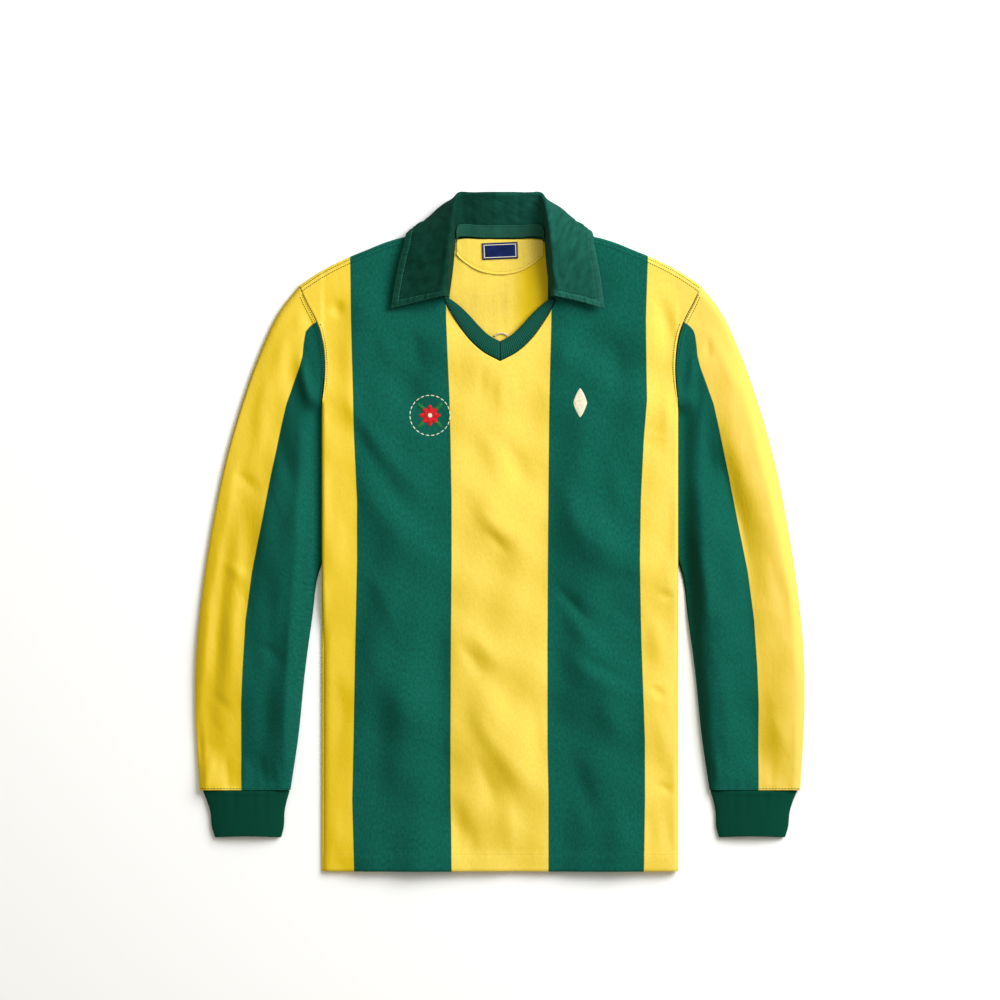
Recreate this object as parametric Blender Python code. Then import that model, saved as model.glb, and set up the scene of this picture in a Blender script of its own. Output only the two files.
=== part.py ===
"""A men's long-sleeved polo shirt in wide vertical stripes, laid flat on its back.

The shirt lies in the XY plane with its front facing +Z and its collar towards +Y. Its underside rests on
z = 0. The wearer's left is on +X. Both sides of the body are folded under, with the side seams hidden
beneath, and the upper part of each sleeve goes under the body there.

All sizes in the tables and functions are millimetres. MM turns them into the scene's metres when a piece
is made. The shirt is symmetric, so the tables give the +X side and the other side is mirrored.
"""
import bpy
import numpy as np

MM = 0.001

# Cloth
JERSEY = 1.5            # thickness of the body and sleeve jersey
COLLAR_CLOTH = 2.2      # two layers of twill
RIB_CLOTH = 1.8         # the rib at the V
CUFF_CLOTH = 2.2        # doubled rib
TRIM_CLOTH = 1.0        # half-moon, neck tape and label
GAP = 0.3               # clearance between neighbouring layers and along seams
PLY = JERSEY + GAP      # height from one lying layer to the next
FLOOR = JERSEY / 2      # middle of a layer that lies on the ground

# Body. A pair is where a smooth slope starts and ends.
HEM_Y = -390.7
SIDE_FOLD_X = 204.7     # outer face of the folded side
HALF_CHEST = 279.4      # half the front's width as cut
HALF_CHEST_BACK = 273.7
BACK_NARROWS_X = 215.0  # the back's armhole is drawn in from here to the underarm
UNDERARM_Y = 70.4
FOLD_TOP_Y = 141.0      # above this the body isn't folded under
FOLD_RUN_OFF_Y = (145.0, 175.0)
FOLD_RUN_OFF = 45.0     # over that height the fold line moves out past the armhole
FOLD_EASE = 3.1         # the back's fold stays this far inside the front's
HIDDEN_EASE = 2.2       # cloth taken up by the turn under the body
FRONT_LOFT = 8.5        # height of the front over the ground along its middle
SIDE_RISE = 2.8         # more height over the folded sides
SIDE_RISE_X = (60.0, 100.0)
SIDE_RISE_Y = (130.0, 190.0)
FLAP_SLOPE_X = (84.0, 108.0)       # the back comes down here from the folded plies to the ground
FLAP_SLOPE = (10.0, 36.0)          # and here, measured up from the hidden armhole
SLEEVE_LIFT = 4.0                  # the two plies of sleeve under the body raise it by this
SLEEVE_SLOPE = (12.0, 44.0)        # measured up from the hidden armhole
SLEEVE_SLOPE_Y = (-125.0, -58.0)
SEAM_SPREAD = 0.95      # the front's and the back's edges are this far over and under the shoulder seam
SHOULDER_EDGE_Z = 4.45  # height of the shoulder seam at the sleeve
SHOULDER_ROUND = 6.0    # how far in from the edge the shoulder rounds over
SHOULDER_ROUND_X = (70.0, 85.0)
SHOULDER_SLOPE = 0.40   # radians
NECK_RISE = 1.6         # the shoulder seam is this much higher at the neck
NECK_RISE_X = (60.0, 130.0)
LEAF_LAYER = 4.0        # the back lies on the collar's leaf by this much
LEAF_SLOPE_Y = (240.0, 285.0)
LEAF_SLOPE_X = (118.0, 170.0)

# Sleeve. The pairs named CROWN are fractions of its length.
SLEEVE_CROWN = 19.0     # height of the sleeve tube at mid-length
CUFF_CROWN = 11.0       # height of the tube at the cuff seam
CUFF_END_CROWN = 9.0
CROWN_RISES = (0.1, 0.4)
CROWN_FALLS = (0.7, 1.0)
CROWN_MEETS_SEAM = (0.0, 0.2)
CROWN_AT_EDGES = 0.85   # the crown's height near the folds, to its height along the middle
SLEEVE_ROUND = 16.0     # how far in from a fold the sleeve rounds over
SLEEVE_EDGE_HALF = 3.7  # half height of the rounded sleeve fold
HIDDEN_EDGE_HALF = 0.9  # and of the pressed fold under the body
INNER_FOLD_OPENS_Y = (-120.0, -60.0)
PRESSED_X = (SIDE_FOLD_X + 16.0, SIDE_FOLD_X + 36.0)
PRESSED_Y = (142.0, 172.0)
ARMHOLE_GAP = 0.7
CUFF_EDGE_HALF = 2.2

# Neck trims
HALF_MOON_HALF_WIDTH = 48.0
HALF_MOON_DROP = 40.0
HALF_MOON_ELLIPSE = 54.7    # half width of the ellipse that the half-moon's lower edge is part of
NECK_SEAM_IN = 1.0          # the half-moon starts this far below the neck edge
LABEL_SIZE = (41.0, 19.0)
LABEL_CENTRE = (0.0, 322.0)
LABEL_TURN = 0.042          # radians
TAPE_WIDTH = 15.0
TAPE_START = 1.0            # how far up the stand the tape starts
TAPE_SECTIONS = slice(5, 14)
ROLL_HALF = 7.0             # the collar's roll is bent within this distance of its top

# How finely the surfaces are divided
FOLD_START = 198.7      # the panels' columns are close together from here to FOLD_END
FOLD_END = 215.2
LEAST_FLAP = 1.5        # least width of the flap's column where the armhole is near the fold
BODY_COLUMNS = 6
FOLD_COLUMNS = 4
FLAP_COLUMNS = 1
LOWER_ROWS = 7
MIDDLE_ROWS = 6
SLEEVE_ROWS = 10
CUFF_ROWS = 3
CUFF_COLUMNS = 10
TABLE_STEPS = 6         # points on an outline for each row of its table
SHARP_ANGLE = 0.6       # radians

# Columns: x, y along the armhole as cut, from the shoulder tip to the underarm
ARMHOLE = ((230.5, 282.0), (221.5, 262.0), (212.5, 245.0), (206.5, 230.0), (203.2, 215.0), (201.4, 198.0),
           (201.2, 180.0), (202.2, 165.0), (203.4, 152.0), (204.7, 141.0), (208.0, 130.0), (214.0, 117.0),
           (224.0, 102.0), (239.0, 88.0), (257.0, 77.0), (HALF_CHEST, UNDERARM_Y))
# Columns: x, y along the shoulder, from its tip to the neck
SHOULDER = ((230.5, 282.0), (207.0, 297.6), (175.0, 314.0), (152.0, 323.4), (130.0, 332.2), (106.0, 338.6),
            (80.0, 340.0), (64.0, 338.0), (55.5, 335.0))
# Columns: x, y along the front neck edge, from the shoulder seam to the point of the V
FRONT_NECK = ((55.5, 335.0), (55.0, 324.0), (57.2, 300.0), (61.3, 269.0), (64.8, 266.4), (57.8, 252.6),
              (48.8, 238.1), (36.3, 221.1), (19.2, 205.6), (0.0, 195.3))
# Columns: x, y along the back neck edge, from the shoulder seam to the middle
BACK_NECK = ((55.5, 335.0), (50.0, 335.2), (42.0, 336.2), (24.0, 335.7), (0.0, 335.5))
# Columns: x, y of the V insert's inner edge, a row for each of the last six rows of FRONT_NECK
RIB_INNER = ((57.0, 266.8), (46.5, 258.9), (35.5, 248.3), (24.5, 236.2), (12.5, 225.0), (0.0, 218.1))
# Columns: x, y of the sleeve's outer fold, from the shoulder tip to the cuff seam
SLEEVE_OUTER = ((230.5, 282.0), (250.7, 256.7), (277.2, 201.5), (296.7, 146.3), (312.8, 91.1), (330.1, 8.3),
                (342.7, -74.5), (349.0, -140.0), (349.8, -205.6), (345.0, -297.6))
# Columns: x, y of the sleeve's inner fold, from the underarm, which is under the body, to the cuff seam
SLEEVE_INNER = ((132.2, 70.4), (165.0, 30.0), (192.0, -8.0), (208.2, -46.9), (216.2, -102.1), (223.7, -157.3),
                (232.3, -240.1), (240.9, -297.6))
# Columns: x of the outer edge, x of the inner edge, y, down the cuff
CUFF = ((341.5, 241.6, -298.2), (337.0, 245.0, -309.0), (333.0, 247.6, -322.0), (331.0, 248.6, -340.0),
        (327.5, 251.5, -351.6))
# Columns: x, y, z at the neck seam, at the roll, at the middle of the leaf and at the leaf's edge. The rows
# go from the middle of the back round to the front end.
COLLAR = (
    (0.0, 336.9, 3.8, 0.0, 389.2, 20.0, 0.0, 371.0, 1.25, 0.0, 327.0, 1.25),
    (24.0, 337.2, 3.9, 26.0, 389.2, 21.5, 27.0, 371.0, 1.25, 28.0, 326.5, 1.25),
    (42.0, 338.6, 4.5, 45.5, 388.4, 24.5, 55.0, 372.0, 2.5, 54.0, 327.0, 1.25),
    (49.8, 337.6, 6.6, 51.0, 381.0, 31.0, 72.0, 367.0, 4.5, 72.0, 330.0, 1.25),
    (52.2, 332.0, 6.9, 53.0, 362.0, 36.0, 86.5, 356.5, 5.0, 85.0, 334.6, 1.25),
    (52.6, 327.0, 7.0, 54.0, 352.0, 37.4, 94.5, 351.5, 7.8, 97.0, 344.6, 2.4),
    (53.0, 320.0, 7.1, 54.8, 341.0, 38.0, 98.0, 346.0, 14.5, 104.5, 343.2, 9.5),
    (54.2, 306.0, 7.4, 57.0, 322.0, 36.0, 88.0, 326.0, 24.0, 108.0, 328.0, 14.0),
    (56.4, 288.0, 8.2, 60.0, 297.0, 29.0, 90.0, 296.0, 18.5, 114.6, 295.0, 13.0),
    (59.0, 268.8, 8.8, 62.7, 269.4, 18.0, 92.0, 263.0, 15.5, 119.6, 256.7, 13.0),
)
UPPER_ROWS = MIDDLE_ROWS + len(FRONT_NECK) - 1

# Colours and finish: red, green, blue, roughness
YELLOW = (0.86, 0.66, 0.11, 0.85)
GREEN = (0.012, 0.115, 0.085, 0.85)
DARK_GREEN = (0.006, 0.055, 0.040, 0.80)
NAVY = (0.012, 0.030, 0.150, 0.60)


def ramp(value, low, high):
    """0 below low and 1 above high, with a smooth step between."""
    t = np.clip((value - low) / (high - low), 0.0, 1.0)
    return t * t * (3.0 - 2.0 * t)


def unit(vectors):
    return vectors / np.maximum(np.linalg.norm(vectors, axis=-1, keepdims=True), 1e-9)


def through(points, per_span):
    """Points on the smooth curve through a table's rows.

    Each span is a cubic. Its slope at a row is the mean of the two chords there, weighted to the shorter.
    """
    rows = np.asarray(points, float)
    length = np.linalg.norm(np.diff(rows, axis=0), axis=1)[:, None]
    chord = np.diff(rows, axis=0) / length
    inner = (chord[:-1] * length[1:] + chord[1:] * length[:-1]) / (length[1:] + length[:-1])
    slope = np.vstack([chord[:1], inner, chord[-1:]])
    t = (np.arange(per_span) / per_span)[None, :, None]
    leave = (length * slope[:-1])[:, None]
    arrive = (length * slope[1:])[:, None]
    cubic = ((2.0 * t ** 3 - 3.0 * t ** 2 + 1.0) * rows[:-1, None] + (t ** 3 - 2.0 * t ** 2 + t) * leave
             + (3.0 * t ** 2 - 2.0 * t ** 3) * rows[1:, None] + (t ** 3 - t ** 2) * arrive)
    return np.vstack([cubic.reshape(-1, rows.shape[1]), rows[-1:]])


def at_fractions(curve, fractions):
    """Points at the given fractions of a curve's length."""
    steps = np.linalg.norm(np.diff(curve, axis=0), axis=1)
    travelled = np.concatenate([[0.0], np.cumsum(steps)]) / steps.sum()
    return np.column_stack([np.interp(fractions, travelled, curve[:, k]) for k in range(curve.shape[1])])


def inset(curve, by):
    """A plan curve moved sideways, to the right of its direction where by is positive."""
    along = unit(np.gradient(curve, axis=0))
    return curve + by * np.column_stack([along[:, 1], -along[:, 0]])


def patch(left, right, bottom, top, across, along):
    """A grid that fills four edges: each point blends the two facing edges both ways, less the corners."""
    s = across[None, :, None]
    v = along[:, None, None]
    sides = (1.0 - s) * left[:, None] + s * right[:, None]
    ends = (1.0 - v) * bottom[None] + v * top[None]
    corners = ((1.0 - s) * (1.0 - v) * bottom[0] + s * (1.0 - v) * bottom[-1]
               + (1.0 - s) * v * top[0] + s * v * top[-1])
    return sides + ends - corners


def grid_numbers(rows, columns, closed=False):
    """The point numbers of a grid, row by row. A closed grid's last column is its first."""
    number = np.arange(rows * columns).reshape(rows, columns)
    return np.hstack([number, number[:, :1]]) if closed else number


def quads_of(number):
    return np.stack([number[:-1, :-1], number[:-1, 1:], number[1:, 1:], number[1:, :-1]], -1).reshape(-1, 4)


def wall(points, quads, thickness):
    """A closed wall round a middle surface of quads.

    A point's normal is the mean of the unit normals of its quads. One face is the surface moved half the
    thickness along it, the other is moved the other way, and a rim joins them at every open edge.
    """
    corner = points[quads]
    facing = unit(np.cross(corner[:, 2] - corner[:, 0], corner[:, 3] - corner[:, 1]))
    normal = np.zeros_like(points)
    np.add.at(normal, quads.ravel(), np.repeat(facing, 4, axis=0))
    shift = 0.5 * thickness * unit(normal)
    count = len(points)
    start = quads.ravel()
    end = np.roll(quads, -1, axis=1).ravel()
    is_open = ~np.isin(start * count + end, end * count + start)
    start, end = start[is_open], end[is_open]
    rim = np.stack([end, start, start + count, end + count], -1)
    faces = np.concatenate([quads, quads[:, ::-1] + count, rim])
    return np.concatenate([points + shift, points - shift]), faces


def add_node(name, middle, quads, thickness, colour):
    """One named solid with its own material, from its middle surface. Its faces are turned to point out."""
    points, faces = wall(middle, quads, thickness)
    a, b, c, d = (points[faces[:, k]] for k in range(4))
    volume = np.sum(a * np.cross(b, c)) + np.sum(a * np.cross(c, d))
    if volume < 0.0:
        faces = faces[:, ::-1]
    mesh = bpy.data.meshes.new(name)
    mesh.from_pydata((points * MM).tolist(), [], faces.tolist())
    mesh.shade_smooth()
    mesh.set_sharp_from_angle(angle=SHARP_ANGLE)
    material = bpy.data.materials.new(name)
    material.use_nodes = True
    shader = material.node_tree.nodes["Principled BSDF"]
    shader.inputs["Base Color"].default_value = (*colour[:3], 1.0)
    shader.inputs["Roughness"].default_value = colour[3]
    shader.inputs["Metallic"].default_value = 0.0
    mesh.materials.append(material)
    bpy.context.scene.collection.objects.link(bpy.data.objects.new(name, mesh))


def add_grid(name, grid, thickness, colour, closed=False):
    rows, columns = grid.shape[:2]
    add_node(name, grid.reshape(-1, 3), quads_of(grid_numbers(rows, columns, closed)), thickness, colour)


def mirrored(grid):
    return grid * np.array([-1.0, 1.0, 1.0])


# Heights of the lying layers. Each takes x, y in plan and gives the height of the layer's middle.

def turn_under(seam):
    """The sleeve's armhole edge in plan: the seam with its lower part turned back under the body."""
    x, y = seam.T
    turned = 2.0 * SIDE_FOLD_X - x + HIDDEN_EASE * (x - SIDE_FOLD_X) / (HALF_CHEST - SIDE_FOLD_X)
    outside = x + ARMHOLE_GAP * ramp(y, FOLD_TOP_Y, FOLD_TOP_Y + 10.0)
    is_hidden = (y < FOLD_TOP_Y) & (x > SIDE_FOLD_X)
    return np.column_stack([np.where(is_hidden, turned, outside), y])


def above_hidden_armhole(x, y):
    """How far a point is above the armhole edge that is folded under."""
    edge = turn_under(np.asarray(ARMHOLE, float))
    hidden = edge[edge[:, 1] < FOLD_TOP_Y][::-1]
    return y - np.interp(x, hidden[:, 0], hidden[:, 1])


def sleeve_lift(x, y):
    """How far the hidden part of the sleeve raises what lies on it, with soft slopes round it."""
    x = np.abs(x)
    inside = ramp(x, *FLAP_SLOPE_X) * ramp(y, *SLEEVE_SLOPE_Y)
    return SLEEVE_LIFT * inside * (1.0 - ramp(above_hidden_armhole(x, y), *SLEEVE_SLOPE))


def shoulder_y(x):
    outline = through(SHOULDER, TABLE_STEPS)[::-1]
    return np.interp(np.abs(x), outline[:, 0], outline[:, 1])


def back_neck_y(x):
    outline = through(BACK_NECK, TABLE_STEPS)[::-1]
    return np.interp(np.abs(x), outline[:, 0], outline[:, 1])


def back_top_y(x):
    return np.where(np.abs(x) < BACK_NECK[0][0], back_neck_y(x), shoulder_y(x))


def shoulder_seam_z(x):
    return SHOULDER_EDGE_Z + NECK_RISE * (1.0 - ramp(np.abs(x), *NECK_RISE_X))


def brim(distance, reach):
    """A quarter-round: 0 at the edge, with an upright start, and 1 from reach inwards."""
    return np.sqrt(1.0 - (1.0 - np.clip(distance / reach, 0.0, 1.0)) ** 2)


def round_to_shoulder(x, y, z, seam_z):
    """Rounds a layer over to the shoulder seam near the shoulder line."""
    inwards = (shoulder_y(x) - y) * np.cos(SHOULDER_SLOPE)
    rounded = seam_z + (z - seam_z) * brim(inwards, SHOULDER_ROUND)
    return z + (rounded - z) * ramp(np.abs(x), *SHOULDER_ROUND_X)


def back_z(x, y):
    """The back lies on the ground, over its own folded sides and over the collar's leaf."""
    a = np.abs(x)
    on_flaps = ramp(a, *FLAP_SLOPE_X) * (1.0 - ramp(above_hidden_armhole(a, y), *FLAP_SLOPE))
    on_leaf = ramp(y, *LEAF_SLOPE_Y) * (1.0 - ramp(a, *LEAF_SLOPE_X))
    z = FLOOR + 2.0 * PLY * on_flaps + sleeve_lift(x, y) + LEAF_LAYER * on_leaf
    return round_to_shoulder(x, y, z, shoulder_seam_z(x) - SEAM_SPREAD)


def front_z(x, y):
    """The front is level, and rises a little over the folded sides."""
    sides = SIDE_RISE * ramp(np.abs(x), *SIDE_RISE_X) * (1.0 - ramp(y, *SIDE_RISE_Y))
    return round_to_shoulder(x, y, FRONT_LOFT + sides, shoulder_seam_z(x) + SEAM_SPREAD)


def tuck(flat, top, plies_under, in_by):
    """Carries a flat panel round the side fold: over the top, half round it, and back inwards beneath.

    The cloth keeps its length. Above the fold's upper end the fold line runs off the panel.
    """
    x, y = flat[..., 0], flat[..., 1]
    a = np.abs(x)
    edge = SIDE_FOLD_X - FLOOR - in_by + FOLD_RUN_OFF * ramp(y, *FOLD_RUN_OFF_Y)
    under_edge = FLOOR + plies_under * PLY + sleeve_lift(edge, y)
    radius = np.maximum(0.5 * (top(edge, y) - under_edge), HIDDEN_EDGE_HALF)
    start = edge - radius
    turn = np.clip((a - start) / radius, 0.0, np.pi)
    beneath = start - (a - start - np.pi * radius)
    is_flat = a <= start
    is_round = ~is_flat & (turn < np.pi)
    plan_x = np.select([is_flat, is_round], [a, start + radius * np.sin(turn)], beneath)
    under_z = FLOOR + plies_under * PLY + sleeve_lift(plan_x, y)
    round_z = top(start, y) - radius * (1.0 - np.cos(turn))
    z = np.select([is_flat, is_round], [top(a, y), round_z], under_z)
    return np.stack([np.sign(x) * plan_x, y, z], -1)


def panel_columns(side_x, inner_x):
    """Where a panel's columns cross one row: close together round the fold, and evenly spread elsewhere."""
    flap = max(side_x - FOLD_END, LEAST_FLAP)
    fold_end = side_x - flap
    fold_start = min(FOLD_START, fold_end - 2.0 * LEAST_FLAP)
    body = inner_x + (fold_start - inner_x) * np.linspace(0.0, 1.0, BODY_COLUMNS + 1)
    bend = np.linspace(fold_start, fold_end, FOLD_COLUMNS + 1)
    return np.concatenate([body, bend[1:], np.linspace(fold_end, side_x, FLAP_COLUMNS + 1)[1:]])


def panel(half_width, upper_middle, top_y):
    """Half a body panel as cut, as a grid of rows from the hem up and columns from the middle to the side.

    Below the underarm the rows are level. Above it they run from upper_middle, which follows the middle line
    and the neck edge, to the armhole, and they bend into the line of the shoulder towards the top.
    """
    armhole = np.asarray(ARMHOLE, float)[::-1].copy()
    armhole[:, 0] -= (HALF_CHEST - half_width) * ramp(armhole[:, 0], BACK_NARROWS_X, HALF_CHEST)
    upper = at_fractions(through(armhole, TABLE_STEPS), np.linspace(0.0, 1.0, len(upper_middle)))
    lower_y = np.linspace(HEM_Y, UNDERARM_Y, LOWER_ROWS + 1)[:-1]
    side = np.vstack([np.column_stack([np.full(LOWER_ROWS, half_width), lower_y]), upper])
    middle = np.vstack([np.column_stack([np.zeros(LOWER_ROWS), lower_y]), upper_middle])
    x = np.array([panel_columns(outer[0], inner[0]) for outer, inner in zip(side, middle)])
    share = (x - middle[:, :1]) / (side[:, :1] - middle[:, :1])
    y = middle[:, 1:] + (side[:, 1:] - middle[:, 1:]) * share
    bend = top_y(x[-1]) - y[-1]
    towards_top = np.linspace(0.0, 1.0, len(side))[:, None] ** 3
    return np.stack([x, y + towards_top * bend], -1)


def add_panel(name, half, joined_rows, folded):
    """The whole panel: both halves in one surface, joined along the middle line up to joined_rows."""
    rows, columns = half.shape[:2]
    both = np.concatenate([half * np.array([-1.0, 1.0]), half])
    number = grid_numbers(2 * rows, columns)
    left, right = number[:rows], number[rows:].copy()
    right[:joined_rows, 0] = left[:joined_rows, 0]
    quads = np.concatenate([quads_of(left)[:, ::-1], quads_of(right)])
    used, quads = np.unique(quads, return_inverse=True)
    add_node(name, folded(both).reshape(-1, 3)[used], quads.reshape(-1, 4), JERSEY, YELLOW)


def add_front():
    """The front as cut, with the V, tucked round its sides as the outer of the folded plies."""
    middle_y = np.linspace(UNDERARM_Y, FRONT_NECK[-1][1], MIDDLE_ROWS + 1)
    middle = np.column_stack([np.zeros(MIDDLE_ROWS), middle_y[:-1]])
    middle = np.vstack([middle, np.asarray(FRONT_NECK, float)[::-1]])
    half = panel(HALF_CHEST, middle, shoulder_y)
    add_panel("front", half, LOWER_ROWS + MIDDLE_ROWS + 1, lambda flat: tuck(flat, front_z, 0, 0.0))


def add_back():
    """The back as cut, tucked round its sides inside the front."""
    middle_y = np.linspace(UNDERARM_Y, BACK_NECK[-1][1], UPPER_ROWS + 1)
    middle = np.column_stack([np.zeros(len(middle_y)), middle_y])
    half = panel(HALF_CHEST_BACK, middle, back_top_y)
    add_panel("back", half, len(half), lambda flat: tuck(flat, back_z, 1, PLY + FOLD_EASE))


def sleeve():
    """The sleeve on +X: a tube pressed flat, with a level underside and a low crown.

    In plan it fills the outer fold, the inner fold, the armhole and the cuff seam. Its top rises from both
    folds in quarter-rounds. Where it passes under the body it is two plies thick.
    """
    across = 0.5 - 0.5 * np.cos(np.linspace(0.0, np.pi, UPPER_ROWS + 1))
    along = np.linspace(0.0, 1.0, SLEEVE_ROWS + 1)
    evenly = np.linspace(0.0, 1.0, UPPER_ROWS + 1)
    outer = at_fractions(inset(through(SLEEVE_OUTER, TABLE_STEPS), FLOOR), along)
    inner = at_fractions(inset(through(SLEEVE_INNER, TABLE_STEPS), -FLOOR), along)
    seam = at_fractions(through(ARMHOLE, TABLE_STEPS), evenly)
    seam_plan = turn_under(seam)
    outer[0], inner[0] = seam_plan[0], seam_plan[-1]
    cuff_seam = outer[-1] + across[:, None] * (inner[-1] - outer[-1])
    plan = patch(outer, inner, seam_plan, cuff_seam, across, along)
    x, y = plan[..., 0], plan[..., 1]
    width = np.linalg.norm(inner - outer, axis=1)[:, None]
    from_outer, from_inner = across * width, (1.0 - across) * width
    u, w = across[None, :], along[:, None]
    opened = 1.0 - ramp(y, *INNER_FOLD_OPENS_Y)
    inner_half = HIDDEN_EDGE_HALF + (SLEEVE_EDGE_HALF - HIDDEN_EDGE_HALF) * opened
    edge_half = SLEEVE_EDGE_HALF + (inner_half - SLEEVE_EDGE_HALF) * u
    crown = CUFF_CROWN + (SLEEVE_CROWN - CUFF_CROWN) * ramp(w, *CROWN_RISES) * (1.0 - ramp(w, *CROWN_FALLS))
    crown = crown * (CROWN_AT_EDGES + (1.0 - CROWN_AT_EDGES) * np.sin(np.pi * u))
    rise = np.minimum(brim(from_outer, SLEEVE_ROUND), brim(from_inner, SLEEVE_ROUND))
    top = FLOOR + edge_half + (crown - edge_half) * rise
    seam_z = front_z(seam[:, 0], seam[:, 1])
    seam_z[0], seam_z[-1] = FLOOR + SLEEVE_EDGE_HALF, FLOOR + HIDDEN_EDGE_HALF
    top = seam_z + (top - seam_z) * ramp(w, *CROWN_MEETS_SEAM)
    under_body = (1.0 - ramp(x, *PRESSED_X)) * (1.0 - ramp(y, *PRESSED_Y))
    pressed = FLOOR + edge_half + (PLY - edge_half) * rise
    top = top + (pressed - top) * under_body
    lowered = np.minimum(brim(from_outer, SLEEVE_EDGE_HALF), brim(from_inner, edge_half))
    bottom = FLOOR + edge_half * (1.0 - lowered)
    upper = np.dstack([plan, top])
    lower = np.dstack([plan, bottom])
    return np.concatenate([upper, lower[:, -2:0:-1]], axis=1)


def cuff():
    """The cuff on +X: a rib tube pressed flat, a little narrower than the sleeve that is gathered into it."""
    across = 0.5 - 0.5 * np.cos(np.linspace(0.0, np.pi, CUFF_COLUMNS + 1))
    edges = at_fractions(through(CUFF, 2), np.linspace(0.0, 1.0, CUFF_ROWS + 1))
    half_cloth = CUFF_CLOTH / 2.0
    outer_x, inner_x, y = edges[:, :1] - half_cloth, edges[:, 1:2] + half_cloth, edges[:, 2:]
    x = outer_x + (inner_x - outer_x) * across
    height = CUFF_CROWN + (CUFF_END_CROWN - CUFF_CROWN) * np.linspace(0.0, 1.0, CUFF_ROWS + 1)[:, None]
    rise = np.sqrt(np.sin(np.pi * across))
    edge = half_cloth + CUFF_EDGE_HALF
    top = edge + (height - edge) * rise
    lowered = np.minimum(1.0, 3.0 * np.sin(np.pi * across)) * np.ones_like(height)
    bottom = edge - CUFF_EDGE_HALF * lowered
    y = y * np.ones_like(x)
    upper = np.dstack([x, y, top])
    lower = np.dstack([x, y, bottom])
    return np.concatenate([upper, lower[:, -2:0:-1]], axis=1)


def collar_sections():
    """The collar's sections, from its front end on -X round the back to +X, as dense curves of points.

    A section runs from the neck seam up the stand, over the roll, and down the leaf to its edge.
    """
    rows = np.asarray(COLLAR, float).reshape(-1, 4, 3)
    rows = np.concatenate([mirrored(rows[:0:-1]), rows])
    seam, roll, leaf, edge = rows.transpose(1, 0, 2)
    inside = roll + ROLL_HALF * unit(seam - roll)
    outside = roll + ROLL_HALF * unit(leaf - roll)
    return [np.stack(points) for points in zip(seam, inside, roll, outside, leaf, edge)]


def along_collar(sections):
    """Carries rows of points smoothly from each section to the next, no lower than on the ground."""
    grid = np.stack(sections)
    grid = through(grid.reshape(len(grid), -1), 2).reshape(-1, grid.shape[1], 3)
    grid[..., 2] = np.maximum(grid[..., 2], COLLAR_CLOTH / 2.0)
    return grid


def add_collar():
    sections = [through(section, 2) for section in collar_sections()]
    add_grid("collar", along_collar(sections), COLLAR_CLOTH, DARK_GREEN)


def add_neck_tape():
    """The tape lies on the stand's inner face at the back, from just over the neck seam up."""
    edge_to_edge = np.linspace(TAPE_START, TAPE_START + TAPE_WIDTH, 4)
    sections = []
    for section in collar_sections()[TAPE_SECTIONS]:
        curve = through(section, 2)
        length = np.linalg.norm(np.diff(curve, axis=0), axis=1).sum()
        sections.append(at_fractions(curve, edge_to_edge / length))
    stand = along_collar(sections)
    along = np.gradient(stand, axis=0)
    up = np.gradient(stand, axis=1)
    inwards = unit(np.cross(along, up))
    inwards *= np.sign(inwards[len(inwards) // 2, 0, 2])
    lift = COLLAR_CLOTH / 2.0 + 3.0 * GAP + TRIM_CLOTH / 2.0
    add_grid("neck_tape", stand + lift * inwards, TRIM_CLOTH, GREEN)


def half_moon_z(x, y):
    return back_z(x, y) + FLOOR + GAP + TRIM_CLOTH / 2.0


def add_half_moon():
    """A patch on the back: its upper edge follows the neck seam, and its lower edge is half an ellipse."""
    x = np.linspace(-HALF_MOON_HALF_WIDTH, HALF_MOON_HALF_WIDTH, 13)[None, :]
    down = np.linspace(0.0, 1.0, 5)[:, None]
    drop = HALF_MOON_DROP * np.sqrt(1.0 - (x / HALF_MOON_ELLIPSE) ** 2)
    y = back_neck_y(x) - NECK_SEAM_IN - down * drop
    x = x * np.ones_like(y)
    add_grid("half_moon", np.dstack([x, y, half_moon_z(x, y)]), TRIM_CLOTH, YELLOW)


def add_label():
    """A plain woven label on the half-moon, turned a little."""
    u, v = np.meshgrid(np.linspace(-0.5, 0.5, 4) * LABEL_SIZE[0], np.linspace(-0.5, 0.5, 3) * LABEL_SIZE[1])
    x = LABEL_CENTRE[0] + u * np.cos(LABEL_TURN) - v * np.sin(LABEL_TURN)
    y = LABEL_CENTRE[1] + u * np.sin(LABEL_TURN) + v * np.cos(LABEL_TURN)
    z = half_moon_z(x, y) + TRIM_CLOTH + GAP
    add_grid("neck_label", np.dstack([x, y, z]), TRIM_CLOTH, NAVY)


def neck_rib():
    """The +X half of the V insert: a band from the front's V to its inner edge, level with the front."""
    v_edge = np.asarray(FRONT_NECK[-len(RIB_INNER):], float)
    inner = np.asarray(RIB_INNER, float)
    outer = v_edge + 2.0 * GAP * unit(inner - v_edge)
    plan = outer[:, None] + np.linspace(0.0, 1.0, 3)[None, :, None] * (inner - outer)[:, None]
    plan[..., 0] = np.maximum(plan[..., 0], GAP)
    return np.dstack([plan, front_z(plan[..., 0], plan[..., 1])])


def main():
    for item in list(bpy.data.objects):
        bpy.data.objects.remove(item, do_unlink=True)
    add_front()
    add_back()
    add_collar()
    add_neck_tape()
    add_half_moon()
    add_label()
    for name, grid, cloth, colour, closed in (
            ("sleeve", sleeve(), JERSEY, YELLOW, True),
            ("cuff", cuff(), CUFF_CLOTH, DARK_GREEN, True),
            ("neck_rib", neck_rib(), RIB_CLOTH, GREEN, False)):
        add_grid(name + "_left", grid, cloth, colour, closed)
        add_grid(name + "_right", mirrored(grid), cloth, colour, closed)


main()
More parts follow.
